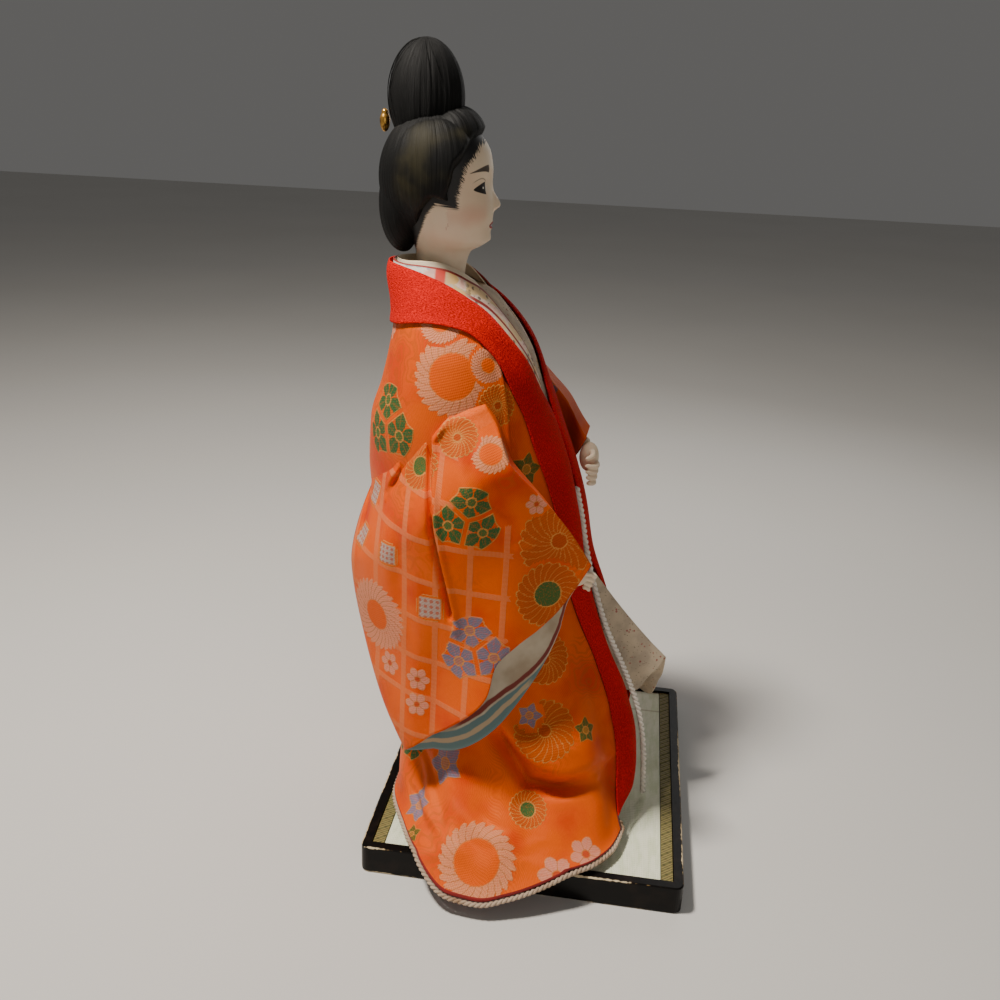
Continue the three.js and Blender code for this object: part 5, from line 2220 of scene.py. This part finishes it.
@dataclass(frozen=True)
class TwistedCord:
    """Cord of two strands laid round each other.

    Attributes:
        name: name of the piece.
        node: solid that it stands for.
        path: points of its middle line in millimetres.
        radius: radius of the whole cord.
        pitch: length of one turn.
        lay: distance of a strand's middle from the cord's, as a share of the radius.
        thick: a strand's own radius, as a share of the cord's.
    """

    name: str
    node: str
    path: Array
    radius: float
    pitch: float
    lay: float = 0.46
    thick: float = 0.6

    def strand(self, start: float, number: int) -> Piece:
        """One strand as a closed tube.

        Args:
            start: its first direction round the middle line, in turns.
            number: its number.

        Returns:
            The strand.
        """
        line = SmoothLine(self.path)
        count = max(40, int(line.length / 0.5))
        share = np.linspace(0, 1, count)
        frame = tube_place(line(share), lambda down: np.full(down.shape, self.radius * self.lay))
        turns = share * line.length / self.pitch + start
        centre = frame(np.mod(turns, 1.0), share)
        taper = Stations((0.0, 0.006, 0.994, 1.0), (0.35, 1.0, 1.0, 0.5))
        place = tube_place(centre, lambda down: self.radius * self.thick * taper(down))
        return loft_piece(f"{self.name}_{number}", 7, count, place)

    def build(self, finish: Material) -> None:
        """Builds and dresses the cord."""
        piece = join_pieces(self.name, [self.strand(0.0, 1), self.strand(0.5, 2)])
        dress(piece, "cord", [self.node], finish)


@dataclass
class Cords:
    """White cord along the hem, and the one that hangs down the right front edge."""

    robe: Robe
    hem_radius: float = 1.0
    front_radius: float = 1.3
    hem_pitch: float = 4.2
    front_pitch: float = 4.6
    gap: float = 0.3
    step: float = 3.5
    corner: float = 2.5
    rise: float = 7.0
    stand_height: float = 12.5
    stand_half: float = 73.4
    front: tuple[Triple, ...] = (
        (9, 150, 1.5), (9.3, 137, 1.5), (9.6, 125, 1.6), (13, 108, 1.8), (16, 90, 2),
        (13, 70, 2), (12, 50, 2.3), (12.6, 36, 3), (12.6, 22, 4),
    )
    front_end: Triple = (-16.6, -48.2, 12.6)

    def build(self) -> None:
        """Builds and dresses both cords."""
        hem = TwistedCord("hem_cord_twist", "hem_cord", self.hem_line(), self.hem_radius,
                          self.hem_pitch)
        # Painted shade: the hem cord's high share of brown is partly real soiling and partly
        # painted shade over the whole cord.
        hem.build(CordFinish("soiled_shaded_cord", 0.68).material())
        line = np.vstack([FIGURE.on_robe(*np.array(self.front, float).T), self.front_end])
        front = TwistedCord("front_cord_twist", "front_cord", line, self.front_radius,
                            self.front_pitch)
        front.build(CordFinish(soil_and_shade=-0.15, white=paint(250, 243, 230)).material())

    def hem_line(self) -> Array:
        """Middle line of the hem's cord."""
        last, middle = self.robe.heights[-1], (self.robe.inside + self.robe.outside) / 2

        def off_edge(heading: float, height: float, inward: tuple[float, float]) -> Array:
            """Point just beyond the cloth's edge.

            Args:
                heading: heading of the edge.
                height: height of the edge.
                inward: heading and height of a place beside it on the cloth.

            Returns:
                The point.
            """
            edge = on_robe(heading, height, middle)
            out = edge - on_robe(*inward, middle)
            return edge + out / np.linalg.norm(out) * (self.hem_radius + self.gap)

        rise = float(self.robe.front_edge(np.array(self.rise)))
        points = [off_edge(rise, self.rise, (rise + 3, self.rise))]
        start = float(self.robe.front_edge(np.array(last))) - self.corner
        lowest = self.stand_height + 0.3 + self.hem_radius
        for heading in np.arange(start, 360 - start + 1e-6, self.step):
            centre = off_edge(heading, last, (heading, last + 3))
            if centre[0] > -self.stand_half - 2 * self.hem_radius - self.gap:
                centre[2] = max(centre[2], lowest)
            points.append(centre)
        return np.array(points)


HEAD_AT = (227.5, 236, 240.5, 243, 245.5, 250, 254.5, 259, 264, 270, 276, 281, 285, 287.5)
HEAD_FRONT, HEAD_BACK, HEAD_HALF = (
    Stations(HEAD_AT, value)
    for value in (
        (41.8, 40.8, 39.2, 35, 32.3, 31.9, 31.2, 31.3, 31.9, 31.8, 32.6, 35, 39.5, 44),
        (60, 60.2, 60.6, 61.5, 62.5, 64.5, 66.5, 68.5, 69.8, 70.5, 69, 66.5, 62.5, 58.5),
        (9, 8.8, 9.2, 10.6, 12, 13.8, 14.8, 15.5, 16, 16.3, 15.2, 13, 9.6, 6),
    )
)


@dataclass(frozen=True)
class Bump:
    """Soft rise of the face.

    Attributes:
        height: height of its middle.
        reach: how far it stands out.
        rise: how far it spreads up.
        drop: how far it spreads down.
        half: how far it spreads sideways.
        side: distance of its middle from the face's middle, on both sides.
    """

    height: float
    reach: float
    rise: float
    drop: float
    half: float
    side: float = 0.0

    def __call__(self, across: Array, height: Array) -> Array:
        """How far the face stands out at places of the face.

        Args:
            across: distances from the face's middle.
            height: heights of the places.

        Returns:
            One distance a place.
        """
        spread = np.where(height > self.height, self.rise, self.drop)
        away = (np.abs(across) - self.side) / self.half if self.side else across / self.half
        return self.reach * np.exp(-(((height - self.height) / spread) ** 2) - away**2)


@dataclass(frozen=True)
class Mass:
    """Ellipsoid that hair or a palm is shaped from.

    Attributes:
        centre: its middle.
        radii: its half sizes.
    """

    centre: Triple
    radii: Triple

    def point(self, heading: Array, lean: Array, width: Array) -> Array:
        """Points of the surface, drawn in or let out sideways by a width.

        Args:
            heading: headings in radians.
            lean: leans from straight up.
            width: factors of the width.

        Returns:
            One point a row.
        """
        way = directions(heading, lean)
        way[:, :2] *= width[:, None]
        return np.array(self.centre) + way * self.radii

    def reach(self, origin: Array, way: Array) -> Array:
        """Distance from a point to where directions leave the mass, or 0 if they miss.

        Args:
            origin: the point.
            way: the directions.

        Returns:
            One distance a place.
        """
        start = (origin - np.array(self.centre)) / np.array(self.radii)
        step = way / np.array(self.radii)
        a = np.einsum("ij,ij->i", step, step)
        b = step @ start
        room = b * b - a * (start @ start - 1)
        return np.where(room > 0, (np.sqrt(np.maximum(room, 0)) - b) / a, 0.0)


@dataclass
class Hair:
    """Combed hair in soft masses, the topknot over it and the gilt bead behind.

    Attributes:
        origin: point inside the hair that its surface is measured from.
        masses: the rolls of hair.
        hairline: side view of the edge towards the face and neck.
        sharp: power that melts the masses into each other.
        partings: how far they keep their own outlines, from 0 to 1.
        sunk: how far in the hair's surface lies where skin covers it, as a share.
        strays: loose strands over the topknot.
    """

    origin: Triple = (0.0, 54.0, 266.0)
    masses: tuple[Mass, ...] = (
        Mass((0, 54.5, 268.5), (20.5, 19.8, 22.5)),
        Mass((0, 45.2, 281.8), (13.5, 10.3, 10.4)),
        Mass((-13, 51.2, 270.3), (10.5, 15.3, 16.8)),
        Mass((13, 51.2, 270.3), (10.5, 15.3, 16.8)),
        Mass((0, 65.5, 256.5), (13.5, 8.8, 17.3)),
    )
    hairline: Pairs = (
        (33, 284), (35.6, 281.8), (37.4, 276.2), (40.4, 272.4), (41.6, 267.2), (43.2, 261.5),
        (42.6, 257.6), (50.4, 259.4), (54, 255), (55.8, 250), (58.6, 244.4), (60.4, 239),
    )
    sides: int = 260
    rings: int = 170
    sharp: float = 6.0
    partings: float = 0.72
    sunk: float = 0.72
    strays: int = 9
    knot: Mass = Mass((0, 57.3, 294.7), (11.5, 13.9, 20.5))
    bead: Mass = Mass((0, 73, 286.4), (2.3, 1.9, 4.1))

    def build(self) -> None:
        """Builds and dresses the hair, the topknot and the bead."""
        hair = loft_piece("hair_combed", self.sides, self.rings, self.place)
        dress(hair, "hair", ["hair"], HairFinish("combed_hair", self.knot.centre[1]).material())
        knot = loft_piece("topknot_combed", 200, 150, self.knot_place)
        strands = [self.stray(number) for number in range(self.strays)]
        knot = join_pieces("topknot_combed_hair", [knot] + strands)
        dress(knot, "hair", ["topknot"], HairFinish("topknot_hair", self.knot.centre[1]).material())
        bead = loft_piece("gilt_hairpin_bead", 36, 30, self.bead_place)
        dress(bead, "gilt", ["hairpin_bead"], GiltFinish().material())

    def place(self, turn: Array, down: Array) -> Array:
        """Points of the hair, sunk under the face beyond its hairline.

        Args:
            turn: share of the way round.
            down: share of the way down.

        Returns:
            One point a row.
        """
        way = directions(2 * np.pi * turn, np.pi * mix(0.006, 0.994, down))
        origin = np.array(self.origin)
        reaches = np.stack([mass.reach(origin, way) for mass in self.masses])
        melted = np.sum(np.maximum(reaches, 1e-3) ** self.sharp, axis=0) ** (1 / self.sharp)
        reach = mix(melted, reaches.max(axis=0), self.partings)
        points = origin + way * reach[:, None]
        inside = smooth(self.depth(points[:, 1], points[:, 2]), -3.2, 0.6)
        reach = reach * mix(1.0, self.sunk, inside) + self.grooves(points) * (1 - inside)
        return origin + way * reach[:, None]

    def depth(self, y: Array, z: Array) -> Array:
        """Distance over the face or neck from the hairline, less than 0 under the hair.

        Args:
            y: depths of the places.
            z: heights of the places.

        Returns:
            One distance a place.
        """
        distance, _ = near_line(self.hairline, y, z)
        corners = self.hairline + ((60.4, 200.0), (0.0, 200.0), (0.0, 284.0))
        inside = np.asarray(z) < corners[-4][1]
        for (ay, az), (by, bz) in zip(corners, corners[1:] + corners[:1]):
            if az != bz:
                crossing = ay + (z - az) * (by - ay) / (bz - az)
                inside = inside ^ (((az > z) != (bz > z)) & (y < crossing) & (z >= corners[-4][1]))
        return np.where(inside, distance, -distance)

    def grooves(self, points: Array) -> Array:
        """Comb marks that run towards the topknot.

        Args:
            points: points of the hair.

        Returns:
            One height a point.
        """
        turn = np.arctan2(points[:, 0], points[:, 1] - self.knot.centre[1])
        marks = 0.07 * np.sin(61 * turn + 0.8 * np.sin(7 * turn))
        return marks + 0.09 * np.sin(23 * turn + 1.6 * np.sin(5 * turn + 1))

    def knot_place(self, turn: Array, down: Array) -> Array:
        """Points of the topknot, with strands drawn up over it.

        Args:
            turn: share of the way round.
            down: share of the way down.

        Returns:
            One point a row.
        """
        heading, lean = 2 * np.pi * turn, np.pi * mix(0.01, 0.99, down)
        marks = 0.006 * np.sin(43 * heading + 3 * down) + 0.012 * np.sin(13 * heading - 4 * down)
        wave = 0.02 * np.sin(3 * heading + 1) * np.sin(lean)
        scale = 1 + (marks + wave) * np.sin(lean) ** 0.6
        waist = 1 - 0.10 * smooth(down, 0.72, 0.95)
        return self.knot.point(heading, lean, scale * waist)

    def stray(self, number: int) -> Piece:
        """One loose strand that lies a little off the topknot.

        Args:
            number: its number, which seeds its line.

        Returns:
            The strand.
        """
        draw = np.random.default_rng(100 + number)
        heading = draw.uniform(40, 200)
        lift = draw.uniform(1.01, 1.06)
        centre, radii = np.array(self.knot.centre), np.array(self.knot.radii)
        line = []
        for share in np.linspace(0, 1, 9):
            lean = math.radians(mix(draw.uniform(10, 16), 120, share))
            swing = math.radians(heading + 14 * math.sin(3 * share + number))
            rise = 1 + (lift - 1) * math.sin(math.pi * share)
            line.append(centre + directions(swing, lean) * radii * rise)
        path = SmoothLine(line)(np.linspace(0, 1, 50))
        place = tube_place(path, lambda down: np.full(down.shape, 0.13))
        return loft_piece(f"stray_{number}", 5, 50, place)

    def bead_place(self, turn: Array, down: Array) -> Array:
        """Points of the bead, drawn in a little under its top."""
        lean = np.pi * mix(0.02, 0.98, down)
        return self.bead.point(2 * np.pi * turn, lean, 1 - 0.18 * bell(down, 0.3, 0.07))


@dataclass
class Head:
    """Head and neck with a finely shaped, painted face.

    Attributes:
        centre_y: depth of the upright axis that the head is turned about.
        turn: that turn in degrees.
        unpainted: distance from the face's middle that marks the back of the head.
        comb_centre: depth and height that the hairline's strands point at.
    """

    centre_y: float = 51.0
    turn: float = 7.0
    top: float = 288.2
    foot: float = 227.8
    sides: int = 160
    rings: int = 190
    unpainted: float = 40.0
    strand_scale: float = 20.0
    comb_centre: tuple[float, float] = (27.0, 256.0)
    bumps: tuple[Bump, ...] = (
        Bump(258, 2.7, 4.2, 1.7, 2.0),
        Bump(256.9, 0.5, 1.2, 0.9, 1.1, 2.1),
        Bump(245.5, 0.5, 1.8, 1.8, 3.6),
        Bump(251.6, 0.45, 0.6, 0.7, 2.4),
        Bump(249.6, 0.6, 0.7, 0.8, 2.2),
        Bump(250.65, -0.3, 0.25, 0.25, 2.6),
        Bump(266, -0.9, 3.6, 3.4, 3.6, 7.4),
        Bump(264.6, 0.35, 1.6, 1.5, 2.4, 9.4),
        Bump(271, 0.3, 2.0, 2.2, 5.0, 7.0),
        Bump(256.0, 0.35, 3.4, 3.4, 4.0, 9.5),
    )

    def place(self, share: Array, down: Array) -> Array:
        """Points of the head in the doll's frame."""
        return self.turned(self.local(share, down))

    def local(self, share: Array, down: Array) -> Array:
        """Points of the head before it is turned.

        Args:
            share: share of the way round.
            down: share of the way down.

        Returns:
            One point a row.
        """
        height = mix(self.top, self.foot, down)
        even = 2 * np.pi * share
        angle = even - 0.55 * np.sin(even)
        front, back, half = HEAD_FRONT(height), HEAD_BACK(height), HEAD_HALF(height)
        x = -half * np.sign(np.sin(angle)) * np.abs(np.sin(angle)) ** 0.9
        y = (front + back) / 2 - (back - front) / 2 * np.cos(angle)
        forward = smooth(np.cos(angle), 0.0, 0.25)
        y = y - forward * sum(bump(x, height) for bump in self.bumps)
        return np.stack([x, y, height], axis=1)

    def turned(self, points: Array) -> Array:
        """Points turned with the head about its upright axis."""
        x, y = spun(points[:, 0], points[:, 1] - self.centre_y, self.turn)
        return np.stack([x, y + self.centre_y, points[:, 2]], axis=1)

    def build(self, hair: Hair) -> None:
        """Builds and dresses the head.

        Args:
            hair: the hair, whose fine edge is painted on the skin.
        """
        head = loft_piece("head_painted", self.sides, self.rings, self.place)
        mesh = head.data
        x, y, z = vertex_points(mesh).T / MM
        across, back = spun(x, y - self.centre_y, -self.turn)
        face = np.stack([np.where(back > -3, self.unpainted, across), z], axis=1)
        set_uv(mesh, "face", face[corner_vertices(mesh)])
        comb_y, comb_z = self.comb_centre
        strand = self.strand_scale * np.arctan2(z - comb_z, y - comb_y)
        fringe = np.stack([hair.depth(y, z), strand], axis=1)
        set_uv(mesh, "fringe", fringe[corner_vertices(mesh)])
        dress(head, "skin", ["head"], SkinFinish(True).material())


@dataclass
class Hands:
    """Ivory hands: the left holds the lapel, the right peeps from its sleeve.

    Attributes:
        voxel: grain of the skin that the parts of a hand are melted into.
    """

    voxel: float = 0.3
    fingers: int = 4
    wrist: tuple[Triple, ...] = ((20.6, -9, 162.4), (18.2, -10, 161), (15.8, -10.8, 158.5))
    thumb: tuple[Triple, ...] = ((13, -13, 160), (9.6, -13.4, 158.6), (7.6, -10.6, 157.4))
    left_palm: Mass = Mass((14.8, -11.8, 156.5), (3.4, 4.2, 6.6))
    right_palm: Mass = Mass((-38, -11.4, 124.9), (1.7, 5.2, 3.8))

    def build(self) -> None:
        """Builds and dresses both hands."""
        finish = SkinFinish(False).material()
        left = [self.rod(self.wrist, 2.2), self.palm(self.left_palm)]
        for i in range(self.fingers):
            z = 154.6 - 2.5 * i
            tip = (6.9, -10.6 - 0.45 * i, z + 0.2)
            bend = (10.4, -15.4 + 0.25 * i, z - 0.5)
            left.append(self.rod(((14.8, -14.8 + 0.5 * i, z + 0.3), bend, tip), 1.28))
        left.append(self.rod(self.thumb, 1.25))
        self.finish_hand("left_hand_skin", "left_hand", left, finish)
        right = [self.palm(self.right_palm)]
        for i in range(self.fingers):
            z = 127.2 - 2 * i
            tip = (-37.2, -20.4 + 0.9 * i, z - 2)
            right.append(self.rod(((-38, -15, z), (-37.6, -18.6 + 0.5 * i, z - 0.5), tip), 0.95))
        self.finish_hand("right_hand_skin", "right_hand", right, finish)

    @staticmethod
    def rod(joints: tuple[Triple, ...], radius: float) -> Piece:
        """Bent rod with round ends.

        Args:
            joints: its three joints in millimetres.
            radius: its radius at the root.

        Returns:
            The rod.
        """
        path = SmoothLine(joints)(np.linspace(0, 1, 24))

        def radius_at(down: Array) -> Array:
            """Radius that tapers to a round tip."""
            ends = np.minimum(np.minimum(down, 1 - down) * 5, 1.0)
            return radius * (1 - 0.18 * down) * np.sqrt(np.maximum(1 - (1 - ends) ** 2, 0.02))

        return loft_piece("rod", 14, 24, tube_place(path, radius_at))

    @staticmethod
    def palm(mass: Mass) -> Piece:
        """Rounded palm.

        Args:
            mass: its shape.

        Returns:
            The palm.
        """
        shape = bmesh.new()
        bmesh.ops.create_uvsphere(shape, u_segments=24, v_segments=16, radius=1.0)
        bmesh.ops.scale(shape, vec=Vector(mass.radii) * MM, verts=shape.verts)
        bmesh.ops.translate(shape, vec=Vector(mass.centre) * MM, verts=shape.verts)
        return new_piece("palm", shape)

    def finish_hand(self, name: str, node: str, parts: list[Piece], finish: Material) -> None:
        """Melts the parts of a hand into one smooth skin.

        Args:
            name: name of the piece.
            node: solid that it stands for.
            parts: palm, wrist and fingers.
            finish: its material.
        """
        hand = join_pieces(name, parts)
        remesh = hand.modifiers.new("skin", "REMESH")
        remesh.mode = "VOXEL"
        remesh.voxel_size = self.voxel * MM
        relax = hand.modifiers.new("relax", "SMOOTH")
        relax.factor = 0.5
        relax.iterations = 2
        graph = bpy.context.evaluated_depsgraph_get()
        mesh = bpy.data.meshes.new_from_object(hand.evaluated_get(graph))
        hand.modifiers.clear()
        hand.data = mesh
        mesh.name = name
        mesh.shade_smooth()
        dress(hand, "skin", [node], finish)


@dataclass(frozen=True)
class Lamp:
    """Soft square light.

    Attributes:
        name: name of the light.
        spot: its place in millimetres.
        target: point that it shines at.
        size: its side in millimetres.
        power: its power in watts.
        colour: its colour.
    """

    name: str
    spot: Triple
    target: Triple
    size: float
    power: float
    colour: Triple

    def build(self) -> None:
        """Puts the light in its place."""
        data = bpy.data.lights.new(self.name, "AREA")
        data.size, data.energy, data.color = self.size * MM, self.power, self.colour
        lamp = link(self.name, data)
        lamp.location = Vector(self.spot) * MM
        ahead = Vector(self.target) * MM - lamp.location
        lamp.rotation_euler = ahead.to_track_quat("-Z", "Y").to_euler()


@dataclass
class Studio:
    """Pale floor, soft lights and the camera at the photograph's viewing angle."""

    eye: Triple = (-387.67, -25.747, 294.075)
    look: Triple = (0.92204, 0.11711, -0.36895)
    roll: float = 2.58
    lens: float = 35.98
    air: Colour = (0.92, 0.9, 0.87, 1.0)
    air_strength: float = 0.13
    lamps: tuple[Lamp, ...] = (
        Lamp("key", (-150, 310, 800), (0, 10, 150), 95, 9.5, (1.0, 0.93, 0.84)),
        Lamp("front", (-620, -300, 300), (0, 0, 120), 420, 0.62, (1.0, 0.95, 0.88)),
        Lamp("side", (480, -160, 420), (0, 0, 130), 380, 0.6, (1.0, 0.98, 0.95)),
    )

    def build(self) -> None:
        """Builds the floor, the lights and the camera."""
        self.floor()
        for lamp in self.lamps:
            lamp.build()
        world = bpy.data.worlds.new("soft_room")
        bpy.context.scene.world = world
        world.use_nodes = True
        background = world.node_tree.nodes["Background"]
        background.inputs["Color"].default_value = self.air
        background.inputs["Strength"].default_value = self.air_strength
        self.camera()

    @staticmethod
    def floor() -> None:
        """Pale floor that the stand rests on."""
        shape = bmesh.new()
        bmesh.ops.create_grid(shape, x_segments=2, y_segments=2, size=3.0)
        piece = new_piece("floor", shape)
        tree = ShaderTree("pale_floor", paint(204, 202, 198), 0.9)
        tree.coat(tree.place.noise(0.004), paint(212, 210, 206))
        piece.data.materials.append(tree.finish())

    def camera(self) -> None:
        """Camera at the photograph's place."""
        data = bpy.data.cameras.new("camera")
        data.lens = self.lens
        data.sensor_width = 36.0
        data.clip_start = 0.01
        camera = link("camera", data)
        ahead = Vector(self.look).normalized()
        right = ahead.cross(Vector((0, 0, 1))).normalized()
        up = right.cross(ahead)
        turned, upward = spun(right, up, -self.roll)
        basis = Matrix((turned, upward, -ahead)).transposed().to_4x4()
        camera.matrix_world = Matrix.Translation(Vector(self.eye) * MM) @ basis
        bpy.context.scene.camera = camera


RIGHT_MOTIFS: tuple[Motif, ...] = (
    Motif(Kind.OUTLINE, -5.5, 142.8, 16),
    Motif(Kind.HEARTED, -2.3, 121.1, 13.5),
    Motif(Kind.PINK, 65.9, 102.6, 16),
    Motif(Kind.LAVENDER, 23.5, 99.3, 14.5, 15),
    Motif(Kind.GREEN, 28.0, 151.7, 13.5, 40),
    Motif(Kind.SALMON, 21.4, 176.4, 7.6),
    Motif(Kind.OUTLINE, 34.5, 180.5, 8),
    Motif(Kind.HEARTED, 48.1, 167.3, 9.3),
    Motif(Kind.SQUARE, 60.1, 132.3, 5.0),
    Motif(Kind.SQUARE, 74.0, 132.1, 5.1),
    Motif(Kind.SQUARE, 42.0, 114.3, 5.6),
    Motif(Kind.SQUARE, 69.9, 147.9, 5.4),
    Motif(Kind.BLOSSOM, 45.7, 82.1, 5.2),
    Motif(Kind.BLOSSOM, 4.1, 157.6, 4.4),
    Motif(Kind.BLOSSOM, 58.9, 83.6, 5.2),
    Motif(Kind.BLOSSOM, 46.2, 70.2, 5.2),
)
RIGHT_CREASES: tuple[Crease, ...] = (
    Crease(((40.7, 186.5), (45.7, 178.2), (44, 164.9), (41.5, 145.8), (36.5, 124.4), (33, 108.6)),
           4.2, 1.0, 1.6, -1),
    Crease(((41.5, 185.2), (46.6, 181), (55.4, 166.1), (61.9, 152.2)), 2.6, 1.2, 1.6, 1),
    Crease(((23.1, 194.3), (18.5, 185.1), (16.4, 176.7)), 2.2, 2.4, 0.0, 1),
    Crease(((30, 186), (27, 170), (20, 158), (8, 146)), 0.9, 2.6, 0.9, 1),
    Crease(((56, 150), (54, 120), (47, 92)), 0.8, 3.0, 0.6, 1),
)
PLAIN_FILLER: Filler = (
    (Kind.SALMON, 12.0), (Kind.SQUARE, 5.0),
    (Kind.GREEN, 12.0), (Kind.BLOSSOM, 5.0),
    (Kind.LAVENDER, 11.0), (Kind.SQUARE, 5.0),
)


def main() -> None:
    """Builds the doll's finished look in order."""
    logging.basicConfig(level=logging.INFO, format="%(message)s")
    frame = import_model()
    Studio().build()
    Stand().build(frame["nodes"])
    UnderKimono().build()
    Collars().build()
    robe = Robe()
    robe.build()
    brocade = bpy.data.materials["orange_brocade"]
    piping = bpy.data.materials["red_piping"]
    lining = LiningFinish().material()
    right = Sleeve("right_sleeve_cloth", "robe_right_sleeve", RIGHT_SLEEVE, RIGHT_MOTIFS,
                   RIGHT_CREASES, PLAIN_FILLER)
    left = Sleeve("left_sleeve_cloth", "robe_left_sleeve", LEFT_SLEEVE, filler=PLAIN_FILLER)
    for sleeve in (right, left):
        sleeve.build(brocade, lining, piping)
    Cords(robe).build()
    hair = Hair()
    hair.build()
    Head().build(hair)
    Hands().build()
    for name, cut in CUTS.items():
        cut.declare(name)
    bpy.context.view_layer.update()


if __name__ == "__main__":
    main()
